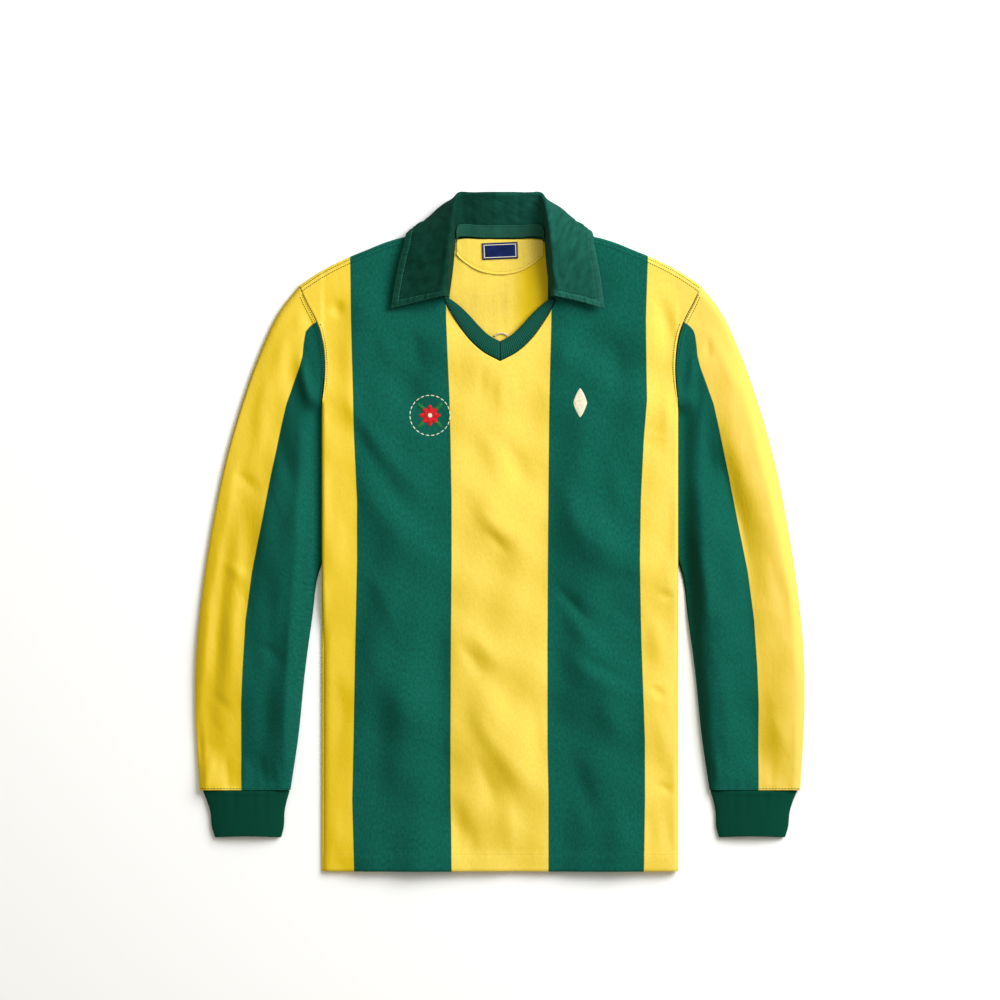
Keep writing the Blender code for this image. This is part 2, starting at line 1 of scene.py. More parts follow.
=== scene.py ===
"""The striped long-sleeved polo shirt with its finish: cloth, folds, stitching, trims and a plain studio.

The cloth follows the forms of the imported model: its tables and heights are repeated here at a finer
division, with folds, seams and topstitching added. Sizes are millimetres, and MM turns them into metres
when a mesh is made. The wearer's left is on +X.
"""
import bpy
import numpy as np
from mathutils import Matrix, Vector


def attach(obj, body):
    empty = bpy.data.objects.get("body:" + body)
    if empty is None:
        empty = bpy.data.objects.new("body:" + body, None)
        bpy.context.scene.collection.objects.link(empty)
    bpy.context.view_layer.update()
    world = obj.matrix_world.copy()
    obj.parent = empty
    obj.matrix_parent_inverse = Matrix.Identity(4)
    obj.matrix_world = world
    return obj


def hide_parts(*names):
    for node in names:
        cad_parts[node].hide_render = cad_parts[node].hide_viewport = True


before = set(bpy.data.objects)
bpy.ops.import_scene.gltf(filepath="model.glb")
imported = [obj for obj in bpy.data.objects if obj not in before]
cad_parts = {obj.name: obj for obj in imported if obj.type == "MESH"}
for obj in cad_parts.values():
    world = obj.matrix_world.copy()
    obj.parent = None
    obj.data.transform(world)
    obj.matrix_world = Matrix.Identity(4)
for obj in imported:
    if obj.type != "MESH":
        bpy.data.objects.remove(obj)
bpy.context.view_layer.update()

MM = 0.001

# Thickness of each cloth, and the room that a ply takes up
JERSEY = 1.5
COLLAR_CLOTH = 2.2
RIB_CLOTH = 1.8
CUFF_CLOTH = 2.2
TRIM_CLOTH = 1.0
GAP = 0.3
PLY = JERSEY + GAP
FLOOR = JERSEY / 2
UPWARDS = np.array([0.0, 0.0, 1.0])
HEADWARDS = np.array([0.0, 1.0, 0.0])

# Body
HEM_Y = -390.7
SIDE_FOLD_X = 204.7
HALF_CHEST = 279.4
HALF_CHEST_BACK = 273.7
BACK_NARROWS_X = 215.0
UNDERARM_Y = 70.4
FOLD_TOP_Y = 141.0
FOLD_RUN_OFF_Y = (145.0, 175.0)
FOLD_RUN_OFF = 45.0
FOLD_EASE = 3.1
HIDDEN_EASE = 2.2
FRONT_LOFT = 8.5
SIDE_RISE = 2.8
SIDE_RISE_X = (60.0, 100.0)
SIDE_RISE_Y = (130.0, 190.0)
FLAP_SLOPE_X = (84.0, 108.0)
FLAP_SLOPE = (10.0, 36.0)
SLEEVE_LIFT = 4.0
SLEEVE_SLOPE = (12.0, 44.0)
SLEEVE_SLOPE_Y = (-125.0, -58.0)
SEAM_SPREAD = 0.95
SHOULDER_EDGE_Z = 4.45
SHOULDER_ROUND = 6.0
SHOULDER_ROUND_X = (70.0, 85.0)
SHOULDER_SLOPE = 0.40
NECK_RISE = 1.6
NECK_RISE_X = (60.0, 130.0)
LEAF_LAYER = 4.0
LEAF_SLOPE_Y = (240.0, 285.0)
LEAF_SLOPE_X = (118.0, 170.0)
FOLD_START = 198.7
FOLD_END = 215.2
LEAST_FLAP = 1.5
TABLE_STEPS = 6
# Rows and columns of the panels' grids: columns on the body, in the side fold and on the flap
FRONT_LOWER_ROWS = 124
FRONT_MIDDLE_ROWS = 35
FRONT_COLUMNS = (62, 14, 9)
NECK_SPAN_ROWS = (7, 7, 6, 5, 5, 2, 9, 7, 4)
BACK_LOWER_ROWS = 78
BACK_UPPER_ROWS = 54
BACK_COLUMNS = (40, 12, 8)
# The front's relief, and how it falls off towards its side folds below the sleeves
FRONT_FOLD_DEPTH = 2.6
FRONT_WRINKLE_DEPTH = 0.9
RIGHT_FALL = 7.3
RIGHT_FALL_X = (140.0, 200.0)
LEFT_FALL = 2.2
LEFT_FALL_X = (165.0, 200.0)
FALL_Y = (-135.0, -62.0)
# How much narrower the back's middle stripe is on each side, seen through the neck
BACK_STRIPE_IN = 4.0

# Sleeve
SLEEVE_CROWN = 19.0
CUFF_CROWN = 11.0
CUFF_END_CROWN = 9.0
CROWN_RISES = (0.1, 0.4)
CROWN_FALLS = (0.7, 1.0)
CROWN_MEETS_SEAM = (0.0, 0.2)
CROWN_AT_EDGES = 0.85
OUTER_ROUND = 9.0
INNER_ROUND = 11.0
SLEEVE_EDGE_HALF = 3.7
HIDDEN_EDGE_HALF = 0.9
INNER_FOLD_OPENS_Y = (-120.0, -60.0)
PRESSED_X = (SIDE_FOLD_X + 4.0, SIDE_FOLD_X + 28.0)
PRESSED_Y = (132.0, 156.0)
ARMHOLE_GAP = 0.7
SLEEVE_ROWS = 210
SLEEVE_COLUMNS = 56
SLEEVE_LENGTH = 600.0
CUFF_EDGE_HALF = 2.2
CUFF_ROWS = 34
CUFF_COLUMNS = 130
CUFF_LENGTH = 52.0

# Neck trims
HALF_MOON_HALF_WIDTH = 50.2
HALF_MOON_DROP = 40.0
HALF_MOON_ELLIPSE = 54.7
NECK_SEAM_IN = 1.0
LABEL_SIZE = (41.0, 19.0)
LABEL_CENTRE = (0.0, 322.0)
LABEL_TURN = 0.042
TAPE_WIDTH = 15.0
TAPE_START = 1.0
TAPE_SECTIONS = slice(5, 14)
RIB_PITCH = 2.4
RIB_HEIGHT = 0.34
ROLL_HALF = 7.0
# Columns of the collar, in mm from its edge: close together in its stitched band, then evenly spread
BAND_COLUMNS = np.arange(0.0, 12.5, 1.1)
OTHER_COLUMNS = 54
COLLAR_STEPS = 30
# Its rows: close together at both ends, then evenly spread
CLOSE_ROWS_REACH = 12.0
END_ROWS = np.arange(0.0, CLOSE_ROWS_REACH, 1.0)
MIDDLE_ROWS = 230
# How far the visible collar departs from the table, in x at the roll and at the edge, row by row, on the
# wearer's left and then right, and how much higher its front points stand
ROLL_SHIFT = ((0.0, 0.0, 1.3, -0.6, 1.2, 1.8, 2.4, 2.0, 1.2, 0.0),
              (0.0, 0.0, 2.0, 0.0, 1.0, 1.2, 1.8, 2.0, 2.0, 2.6))
EDGE_SHIFT = ((0.0,) * 10, (0.0,) * 6 + (0.5, 2.4, 4.2, 6.0))
TOP_LOWERED = 1.2
POINT_LOWERED = 1.6
POINTS_RAISED = np.array([[0.0, 1.0, 2.0, 2.5], [0.0, 4.0, 4.5, 3.5], [0.0, 8.5, 5.5, 3.5]])

# Rows of stitches, in mm from the edge or the seam that each follows
HEM_STITCH = 20.0
HEM_STITCH_COLUMNS = 70
SHOULDER_STITCHES = (4.0, 8.0)
SHOULDER_STITCHES_FROM_X = 66.0
ARMHOLE_STITCH = 2.8
ARMHOLE_STITCH_Y = (144.0, 240.0)
SLEEVE_STITCHES = (1.6, 5.2)
SLEEVE_STITCHES_FROM_Y = 150.0
CUFF_STITCH = 2.2
COLLAR_STITCH = 7.6
TAPE_STITCH = 1.8
HALF_MOON_STITCH = 3.6
LABEL_STITCH = 1.2
# The share of its pitch that a stitch fills, its height for its width, and how deep it sits in the cloth
STITCH_FILL = 0.84
STITCH_HEIGHT = 0.55
STITCH_SINKS = 0.02
# Pitch and width of the stitches on the hem, on seams, above the cuffs, on the collar, trims and label
HEM_THREAD = (3.1, 0.62)
SEAM_THREAD = (2.7, 0.95)
CUFF_THREAD = (3.6, 0.8)
COLLAR_THREAD = (3.1, 0.95)
TRIM_THREAD = (2.8, 0.5)
LABEL_THREAD = (2.0, 0.4)

# The badge on the chest: a star with leaves in a ring of dashes, and a lozenge on the other side
BADGE = (-80.5, 133.0)
STAR_RADIUS = 12.5
HEART_RADIUS = 3.0
LEAVES_RADIUS = 14.5
LEAF_HALF = (5.5, 2.4)
RING_RADIUS = 23.0
LOZENGE = (92.0, 147.5)
LOZENGE_HALF = (8.0, 17.0)
LOZENGE_POWER = 1.25
DOME_SINKS = 0.05
DOME_DEPTH = 0.25
# The short stitched arc on the inside of the back
ARC_CENTRE = (1.5, 219.3)
ARC_HALF = (9.5, 8.4)
ARC_LIFT = 1.5

ARMHOLE = ((230.5, 282.0), (221.5, 262.0), (212.5, 245.0), (206.5, 230.0), (203.2, 215.0), (201.4, 198.0),
           (201.2, 180.0), (202.2, 165.0), (203.4, 152.0), (204.7, 141.0), (208.0, 130.0), (214.0, 117.0),
           (224.0, 102.0), (239.0, 88.0), (257.0, 77.0), (HALF_CHEST, UNDERARM_Y))
SHOULDER = ((230.5, 282.0), (207.0, 297.6), (175.0, 314.0), (152.0, 323.4), (130.0, 332.2), (106.0, 338.6),
            (80.0, 340.0), (64.0, 338.0), (55.5, 335.0))
FRONT_NECK = ((55.5, 335.0), (55.0, 324.0), (57.2, 300.0), (61.3, 269.0), (64.8, 266.4), (57.8, 252.6),
              (48.8, 238.1), (36.3, 221.1), (19.2, 205.6), (0.0, 195.3))
BACK_NECK = ((55.5, 335.0), (50.0, 335.2), (42.0, 336.2), (24.0, 335.7), (0.0, 335.5))
RIB_INNER = ((57.0, 266.8), (46.5, 258.9), (35.5, 248.3), (24.5, 236.2), (12.5, 225.0), (0.0, 218.1))
SLEEVE_OUTER = ((230.5, 282.0), (250.7, 256.7), (277.2, 201.5), (296.7, 146.3), (312.8, 91.1), (330.1, 8.3),
                (342.7, -74.5), (349.0, -140.0), (349.8, -205.6), (345.0, -297.6))
SLEEVE_INNER = ((132.2, 70.4), (165.0, 30.0), (192.0, -8.0), (208.2, -46.9), (216.2, -102.1), (223.7, -157.3),
                (232.3, -240.1), (240.9, -297.6))
CUFF = ((341.5, 241.6, -298.2), (337.0, 245.0, -309.0), (333.0, 247.6, -322.0), (331.0, 248.6, -340.0),
        (327.5, 251.5, -351.6))
COLLAR = (
    (0.0, 336.9, 3.8, 0.0, 389.2, 20.0, 0.0, 371.0, 1.25, 0.0, 327.0, 1.25),
    (24.0, 337.2, 3.9, 26.0, 389.2, 21.5, 27.0, 371.0, 1.25, 28.0, 326.5, 1.25),
    (42.0, 338.6, 4.5, 45.5, 388.4, 24.5, 55.0, 372.0, 2.5, 54.0, 327.0, 1.25),
    (49.8, 337.6, 6.6, 51.0, 381.0, 31.0, 72.0, 367.0, 4.5, 72.0, 330.0, 1.25),
    (52.2, 332.0, 6.9, 53.0, 362.0, 36.0, 86.5, 356.5, 5.0, 85.0, 334.6, 1.25),
    (52.6, 327.0, 7.0, 54.0, 352.0, 37.4, 94.5, 351.5, 7.8, 97.0, 344.6, 2.4),
    (53.0, 320.0, 7.1, 54.8, 341.0, 38.0, 98.0, 346.0, 14.5, 104.5, 343.2, 9.5),
    (54.2, 306.0, 7.4, 57.0, 322.0, 36.0, 88.0, 326.0, 24.0, 108.0, 328.0, 14.0),
    (56.4, 288.0, 8.2, 60.0, 297.0, 29.0, 90.0, 296.0, 18.5, 114.6, 295.0, 13.0),
    (59.0, 268.8, 8.8, 62.7, 269.4, 18.0, 92.0, 263.0, 15.5, 119.6, 256.7, 13.0),
)

# Columns: y, then x of the four edges of the body's stripes
STRIPE_EDGES = (
    (-389.6, -167.3, -55.8, 55.8, 165.0), (-309.1, -169.6, -56.9, 55.8, 166.2),
    (-240.1, -167.9, -56.9, 54.6, 166.2), (-125.1, -165.9, -56.4, 54.6, 162.2),
    (-33.1, -163.9, -55.8, 55.2, 160.4), (35.9, -163.9, -55.8, 55.8, 161.6),
    (104.9, -167.3, -56.9, 56.4, 164.8), (150.9, -168.5, -58.1, 56.9, 168.5),
    (242.9, -170.8, -62.1, 59.2, 167.3), (311.9, -171.9, -62.1, 59.2, 169.6))
# The edge between the sleeve's two stripes, from under the body to the cuff
SLEEVE_STRIPE = (
    (120.0, 305.0), (210.5, 240.6), (218.5, 234.9), (223.1, 229.1), (225.4, 215.3), (226.6, 201.5),
    (230.0, 187.7), (235.2, 173.9), (245.0, 146.3), (251.3, 118.7), (262.8, 63.5), (273.1, 8.3),
    (284.1, -46.9), (291.5, -102.1), (295.0, -157.3), (296.7, -198.7), (296.7, -310.0))

# Columns: x and y of a fold's start and end, its bow and half width, and its height, negative for a trough
FRONT_FOLDS = (
    (-185, 85, -55, -45, -8, 22, 2.3), (-150, 205, -70, 110, 5, 18, -1.2),
    (-170, -120, -60, -235, -5, 24, 1.6),
    (50, 80, 170, -75, -6, 22, 2.2), (58, -120, 168, -205, -4, 20, 1.8), (-50, -140, 52, -335, 6, 22, 1.9),
    (-52, 70, 50, -55, 4, 18, 1.2), (60, 220, 150, 130, 5, 20, 1.1), (-52, -300, -40, -395, 0, 13, -1.6),
    (-189, 176, -64, 27, -10.3, 11.5, 1.15), (-170, 128, -74, -16, -6.9, 10.3, -0.7),
    (-94, -5, -57, -30, 0, 5.8, -0.42), (-74, -68, -71, -378, 4.6, 13.8, -0.9),
    (-101, -79, -106, -332, -5.8, 18.4, 0.7), (-147, -125, -138, -378, 3.4, 16.1, -0.6),
    (-159, -33, -115, -125, 4.6, 10.3, 0.5), (-182, 266, -192, 245, 0, 6.9, -0.8),
    (-178, 231, -170, 70, 3.4, 9.2, 0.5), (-18, 4, 14, -31, 0, 5.8, -0.48),
    (-30, 30, 23, -16, -3.4, 10.3, 0.8), (-51, -118, -16, -173, 0, 6.9, -0.54),
    (-34, -108, 6, -162, -2.3, 10.3, 0.8), (-30, -252, -7, -326, 3.4, 8, -0.6),
    (-39, -188, 46, -309, -6.9, 12.6, 1.1), (-34, -326, -30, -387, 0, 8, -0.48),
    (6, -298, 14, -385, 2.3, 10.3, 0.7), (34, -183, 44, -298, 2.3, 9.2, -0.6),
    (-18, 195, -24, 149, 0, 5.8, -0.36), (0, 190, 2, 128, 0, 6.9, 0.42), (18, 195, 25, 149, 0, 5.8, -0.36),
    (-34, 128, 14, 36, 4.6, 11.5, 0.6), (0, 116, 34, 36, 3.4, 10.3, -0.6),
    (57, -56, 115, -125, 2.3, 6.9, -1), (84, -137, 161, -180, -2.3, 8, -1.1),
    (133, -60, 156, -120, 2.3, 10.3, -1.2), (69, -77, 133, -157, -4.6, 13.8, 1.1),
    (103, -183, 152, -263, 4.6, 13.8, 0.8), (76, -240, 115, -367, 3.4, 11.5, -0.7),
    (129, -286, 140, -387, 2.3, 11.5, 0.6), (115, 105, 147, -10, 4.6, 13.8, 0.7),
    (83, 70, 106, -33, 3.4, 10.3, -0.6), (126, 231, 138, 128, 3.4, 11.5, -0.5),
    (177, -70, 204, -78, 0, 4.6, -0.7), (170, -178, 192, -191, 0, 4.6, -0.7),
    (175, -290, 204, -301, 0, 4.6, -0.7), (177, 280, 199, 192, 3.4, 10.3, -1.1),
    (189, 174, 193, 70, 2.3, 9.2, 0.7), (172, -91, 186, -171, 2.3, 9.2, 0.6),
    (178, -200, 193, -280, 2.3, 9.2, 0.6), (178, -309, 186, -385, 1.1, 8, 0.5),
    (-195, -125, -186, -263, 2.3, 9.2, -0.6), (-190, -275, -195, -385, 2.3, 8, 0.5),
    (-184, 59, -191, -79, 2.3, 9.2, 0.5), (-147, 243, -124, 176, 4.6, 11.5, 0.6),
    (-108, 243, -92, 174, 3.4, 9.2, -0.5), (86, 237, 69, 174, -3.4, 10.3, 0.5))
# The same for the sleeves, both drawn on +X
RIGHT_SLEEVE_FOLDS = (
    (299, 41, 329, -291, -5.8, 10.3, 1.3), (315, 13, 342, -275, -4.6, 9.2, -0.9),
    (235, -10, 251, -293, -3.4, 9.2, 1.2), (262, -33, 274, -286, -3.4, 11.5, -0.9),
    (229, 212, 206, 126, 5.5, 7.0, 1.8), (242, 205, 220, 105, 5.5, 10.0, -0.9),
    (241, 231, 251, 151, -4.6, 9.2, -0.7), (274, 151, 288, 70, -4.6, 9.2, 0.7),
    (253, 128, 230, 36, 5.8, 9.2, -0.8), (230, 70, 241, -10, -4.6, 8, 0.7),
    (308, 70, 274, 36, -3.4, 8, -0.7), (320, -33, 285, -68, -3.4, 8, 0.6),
    (281, -125, 246, -162, -4.6, 8, -0.6), (334, -183, 308, -217, -3.4, 6.9, -0.5),
    (329, -249, 336, -295, 0, 5.8, 0.6), (313, -254, 315, -295, 0, 5.8, -0.6),
    (292, -258, 292, -295, 0, 5.8, 0.6), (274, -254, 271, -295, 0, 5.8, -0.5),
    (258, -258, 253, -295, 0, 4.6, 0.5), (241, 266, 230, 226, -3.4, 6.9, 0.7))
LEFT_SLEEVE_FOLDS = (
    (221, 214, 212, 151, 3.4, 4.6, 1), (212, 151, 208, 126, 0, 4.6, 1),
    (237, 228, 237, 192, 2.3, 4.6, -1.2), (229, 183, 218, 116, 3.4, 6.9, -1),
    (218, 122, 228, 13, -3.4, 6.9, 1), (232, 116, 244, 36, 3.4, 9.2, -1.3),
    (255, 139, 278, 13, 5.8, 11.5, 1.3), (244, 13, 264, -125, 3.4, 10.3, -0.9),
    (230, -10, 235, -125, 2.3, 9.2, 1.1), (237, -125, 246, -286, 3.4, 9.2, -1),
    (255, -148, 262, -291, 3.4, 9.2, 1.1), (278, -33, 310, -194, 6.9, 11.5, 0.8),
    (301, -10, 334, -148, 5.8, 9.2, -0.8), (281, -183, 299, -293, 3.4, 10.3, -0.9),
    (310, -194, 329, -291, 3.4, 9.2, 1), (248, 220, 276, 151, 4.6, 10.3, 0.8),
    (267, 174, 294, 82, 4.6, 9.2, -0.7), (230, 266, 248, 231, 2.3, 8, 0.6),
    (274, -79, 237, -102, 3.4, 8, 0.6), (288, -137, 253, -157, 3.4, 6.9, -0.6),
    (248, -254, 251, -295, 0, 5.8, 0.6), (267, -256, 268, -295, 0, 5.8, -0.5),
    (290, -254, 288, -295, 0, 5.8, 0.6), (313, -256, 310, -295, 0, 5.8, -0.6))


# Curves and grids

def ramp(value, low, high):
    """0 below low and 1 above high, with a smooth step between."""
    t = np.clip((value - low) / (high - low), 0.0, 1.0)
    return t * t * (3.0 - 2.0 * t)


def bell(value, width):
    """1 at 0, falling off to both sides as a bell curve."""
    return np.exp(-(value / width) ** 2)


def unit(vectors):
    """Each vector divided by its length."""
    return vectors / np.maximum(np.linalg.norm(vectors, axis=-1, keepdims=True), 1e-9)


def through(points, per_span):
    """Points on the smooth curve through a table's rows: a cubic for each span, with its slope at a row the
    mean of the two chords there, weighted to the shorter."""
    rows = np.asarray(points, float)
    length = np.linalg.norm(np.diff(rows, axis=0), axis=1)[:, None]
    chord = np.diff(rows, axis=0) / length
    inner = (chord[:-1] * length[1:] + chord[1:] * length[:-1]) / (length[1:] + length[:-1])
    slope = np.vstack([chord[:1], inner, chord[-1:]])
    t = (np.arange(per_span) / per_span)[None, :, None]
    leave = (length * slope[:-1])[:, None]
    arrive = (length * slope[1:])[:, None]
    cubic = ((2.0 * t ** 3 - 3.0 * t ** 2 + 1.0) * rows[:-1, None] + (t ** 3 - 2.0 * t ** 2 + t) * leave
             + (3.0 * t ** 2 - 2.0 * t ** 3) * rows[1:, None] + (t ** 3 - t ** 2) * arrive)
    return np.vstack([cubic.reshape(-1, rows.shape[1]), rows[-1:]])


def travelled(lines):
    """The length along each line of a stack of lines, from its start, at each of its points."""
    steps = np.linalg.norm(np.diff(lines[..., :3], axis=-2), axis=-1)
    return np.concatenate([np.zeros_like(steps[..., :1]), np.cumsum(steps, axis=-1)], axis=-1)


def travelled_up(grid):
    """The length up each column of a grid, from its first row, at each of its points."""
    return travelled(grid.transpose(1, 0, 2)).T


def read_at(places, known, curve):
    """Each column of a curve, read at some places where its points lie at the known ones."""
    return np.column_stack([np.interp(places, known, curve[:, k]) for k in range(curve.shape[1])])


def at_fractions(curve, fractions):
    """Points at the given fractions of a curve's length."""
    share = travelled(curve)
    return read_at(fractions, share / share[-1], curve)


def at_distance(lines, distance):
    """The point at a distance from the start of each line of a stack."""
    far = travelled(lines)
    span = np.clip(np.sum(far < distance, axis=1) - 1, 0, far.shape[1] - 2)
    row = np.arange(len(lines))
    share = ((distance - far[row, span]) / np.maximum(far[row, span + 1] - far[row, span], 1e-9))[:, None]
    return lines[row, span] * (1.0 - share) + lines[row, span + 1] * share


def inset(curve, by):
    """A plan curve moved sideways, to the right of its direction where by is positive."""
    along = unit(np.gradient(curve, axis=0))
    return curve + by * np.column_stack([along[:, 1], -along[:, 0]])


def patch(left, right, bottom, top, across, along):
    """A grid that fills four edges: each point blends the two facing edges both ways, less the corners."""
    s = across[None, :, None]
    v = along[:, None, None]
    sides = (1.0 - s) * left[:, None] + s * right[:, None]
    ends = (1.0 - v) * bottom[None] + v * top[None]
    corners = ((1.0 - s) * (1.0 - v) * bottom[0] + s * (1.0 - v) * bottom[-1]
               + (1.0 - s) * v * top[0] + s * v * top[-1])
    return sides + ends - corners


def grid_numbers(rows, columns, closed=False):
    """The numbers of a grid's points, with the first column again at the end where it is closed."""
    number = np.arange(rows * columns).reshape(rows, columns)
    return np.hstack([number, number[:, :1]]) if closed else number


def quads_of(number):
    """A face for each four neighbouring points of a grid of numbers."""
    return np.stack([number[:-1, :-1], number[:-1, 1:], number[1:, 1:], number[1:, :-1]], -1).reshape(-1, 4)


def mirrored(grid, sign=-1.0):
    """The same points with x times the sign."""
    return grid * np.array([sign, 1.0, 1.0])


def facing(grid, towards):
    """Each grid point's normal: its row direction crossed with its column direction, all turned so that
    the middle one looks the given way."""
    normal = unit(np.cross(np.gradient(grid, axis=1), np.gradient(grid, axis=0)))
    middle = normal[grid.shape[0] // 2, grid.shape[1] // 2]
    return normal * np.sign(np.dot(middle, towards))


# Relief

def folds(x, y, table):
    """The summed height of soft folds. Each is bell-shaped across, bent into a parabola, and dies away to
    its ends as a half sine to the power of 1.5."""
    total = np.zeros(np.broadcast(x, y).shape)
    for x0, y0, x1, y1, bow, width, height in table:
        length = np.hypot(x1 - x0, y1 - y0)
        along_x, along_y = (x1 - x0) / length, (y1 - y0) / length
        share = ((x - x0) * along_x + (y - y0) * along_y) / length
        within = np.clip(share, 0.0, 1.0)
        aside = (y - y0) * along_x - (x - x0) * along_y - 4.0 * bow * within * (1.0 - within)
        total += height * np.sin(np.pi * within) ** 1.5 * bell(aside, width * (0.7 + 0.5 * within))
    return total


def waves(x, y, seed, count, longest, shortest, height, stretch=1.0):
    """A sum of plane sine waves in seeded directions, longest to shortest, each lower as it is shorter.
    stretch above 1 draws them out along y."""
    draw = np.random.default_rng(seed)
    total = np.zeros(np.broadcast(x, y).shape)
    for step in np.linspace(0.0, 1.0, count):
        reach = longest * (shortest / longest) ** step
        angle, phase = draw.uniform(0.0, np.pi), draw.uniform(0.0, 2.0 * np.pi)
        along = x * np.cos(angle) + y * np.sin(angle) / stretch
        total += height * (reach / longest) ** 0.8 * np.sin(2.0 * np.pi * along / reach + phase)
    return total


def pucker(along, seed, pitch):
    """Uneven gathers along a stitched line: three sines near one pitch, of -1 to 1."""
    draw = np.random.default_rng(seed)
    total = 0.0
    for factor in (0.8, 1.13, 1.7):
        total = total + np.sin(2.0 * np.pi * along / (pitch * factor) + draw.uniform(0.0, 6.28)) / 3.0
    return total


def wrinkles(seed, count, box, slant):
    """Rows of small seeded folds in a box of x and y, most of them near the slant angle."""
    draw = np.random.default_rng(seed)
    x, y = draw.uniform(box[0], box[1], count), draw.uniform(box[2], box[3], count)
    angle = slant + draw.normal(0.0, 0.55, count)
    length, width = draw.uniform(22.0, 60.0, count), draw.uniform(3.2, 6.0, count)
    height = draw.uniform(0.16, 0.34, count) * draw.choice((-1.0, 1.0), count)
    bow = draw.uniform(-3.0, 3.0, count)
    return np.column_stack([x, y, x + length * np.cos(angle), y + length * np.sin(angle), bow, width, height])


# Heights of the lying layers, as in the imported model

def turn_under(seam):
    """The armhole seam in plan: above the fold's top a gap outside the body, and below it mirrored at the
    fold, a little drawn out."""
    x, y = seam.T
    turned = 2.0 * SIDE_FOLD_X - x + HIDDEN_EASE * (x - SIDE_FOLD_X) / (HALF_CHEST - SIDE_FOLD_X)
    outside = x + ARMHOLE_GAP * ramp(y, FOLD_TOP_Y, FOLD_TOP_Y + 10.0)
    is_hidden = (y < FOLD_TOP_Y) & (x > SIDE_FOLD_X)
    return np.column_stack([np.where(is_hidden, turned, outside), y])


def above_hidden_armhole(x, y):
    """How far y is above the part of the armhole that is turned under."""
    edge = turn_under(np.asarray(ARMHOLE, float))
    hidden = edge[edge[:, 1] < FOLD_TOP_Y][::-1]
    return y - np.interp(x, hidden[:, 0], hidden[:, 1])


def sleeve_lift(x, y):
    """How far the sleeve's hidden part lifts what lies on it: a plateau with three soft sides."""
    x = np.abs(x)
    inside = ramp(x, *FLAP_SLOPE_X) * ramp(y, *SLEEVE_SLOPE_Y)
    return SLEEVE_LIFT * inside * (1.0 - ramp(above_hidden_armhole(x, y), *SLEEVE_SLOPE))


def outline_y(x, table):
    """y of an outline that is the same on both sides, drawn from the outside in."""
    outline = through(table, TABLE_STEPS)[::-1]
    return np.interp(np.abs(x), outline[:, 0], outline[:, 1])


def shoulder_y(x):
    """y of the shoulder seam."""
    return outline_y(x, SHOULDER)


def back_neck_y(x):
    """y of the back's neck seam."""
    return outline_y(x, BACK_NECK)


def back_top_y(x):
    """The back's upper edge: its neck in the middle, its shoulders outside."""
    return np.where(np.abs(x) < BACK_NECK[0][0], back_neck_y(x), shoulder_y(x))


def shoulder_seam_z(x):
    """The shoulder seam's height, which rises towards the neck."""
    return SHOULDER_EDGE_Z + NECK_RISE * (1.0 - ramp(np.abs(x), *NECK_RISE_X))


def brim(distance, reach):
    """A quarter-round: 0 at the edge, with an upright start, and 1 from reach inwards."""
    return np.sqrt(1.0 - (1.0 - np.clip(distance / reach, 0.0, 1.0)) ** 2)


def round_to_shoulder(x, y, z, seam_z):
    """Brings a height down to the seam's by a quarter-round along the shoulder."""
    inwards = (shoulder_y(x) - y) * np.cos(SHOULDER_SLOPE)
    rounded = seam_z + (z - seam_z) * brim(inwards, SHOULDER_ROUND)
    return z + (rounded - z) * ramp(np.abs(x), *SHOULDER_ROUND_X)


def back_z(x, y):
    """The back's height: the ground, and what lies beneath it, which is the turned-under flaps, the sleeves
    and the collar's leaf, rounded off to the shoulder."""
    a = np.abs(x)
    on_flaps = ramp(a, *FLAP_SLOPE_X) * (1.0 - ramp(above_hidden_armhole(a, y), *FLAP_SLOPE))
    on_leaf = ramp(y, *LEAF_SLOPE_Y) * (1.0 - ramp(a, *LEAF_SLOPE_X))
    z = FLOOR + 2.0 * PLY * on_flaps + sleeve_lift(x, y) + LEAF_LAYER * on_leaf
    return round_to_shoulder(x, y, z, shoulder_seam_z(x) - SEAM_SPREAD)


def front_z(x, y):
    """The front's height: its loft, a little more at the sides low down, rounded off to the shoulder."""
    sides = SIDE_RISE * ramp(np.abs(x), *SIDE_RISE_X) * (1.0 - ramp(y, *SIDE_RISE_Y))
    return round_to_shoulder(x, y, FRONT_LOFT + sides, shoulder_seam_z(x) + SEAM_SPREAD)


def tuck(flat, top, plies_under, in_by):
    """Carries a flat panel round the side fold: over the top, half round it, and back inwards beneath."""
    x, y = flat[..., 0], flat[..., 1]
    a = np.abs(x)
    edge = SIDE_FOLD_X - FLOOR - in_by + FOLD_RUN_OFF * ramp(y, *FOLD_RUN_OFF_Y)
    under_edge = FLOOR + plies_under * PLY + sleeve_lift(edge, y)
    radius = np.maximum(0.5 * (top(edge, y) - under_edge), HIDDEN_EDGE_HALF)
    start = edge - radius
    turn = np.clip((a - start) / radius, 0.0, np.pi)
    beneath = start - (a - start - np.pi * radius)
    is_flat = a <= start
    is_round = ~is_flat & (turn < np.pi)
    plan_x = np.select([is_flat, is_round], [a, start + radius * np.sin(turn)], beneath)
    under_z = FLOOR + plies_under * PLY + sleeve_lift(plan_x, y)
    round_z = top(start, y) - radius * (1.0 - np.cos(turn))
    z = np.select([is_flat, is_round], [top(a, y), round_z], under_z)
    return np.stack([np.sign(x) * plan_x, y, z], -1)


# Pieces

# The way towards the key light, in plan: slopes that face away from it get painted shade
TOWARDS_KEY_LIGHT = (0.75, 0.66)


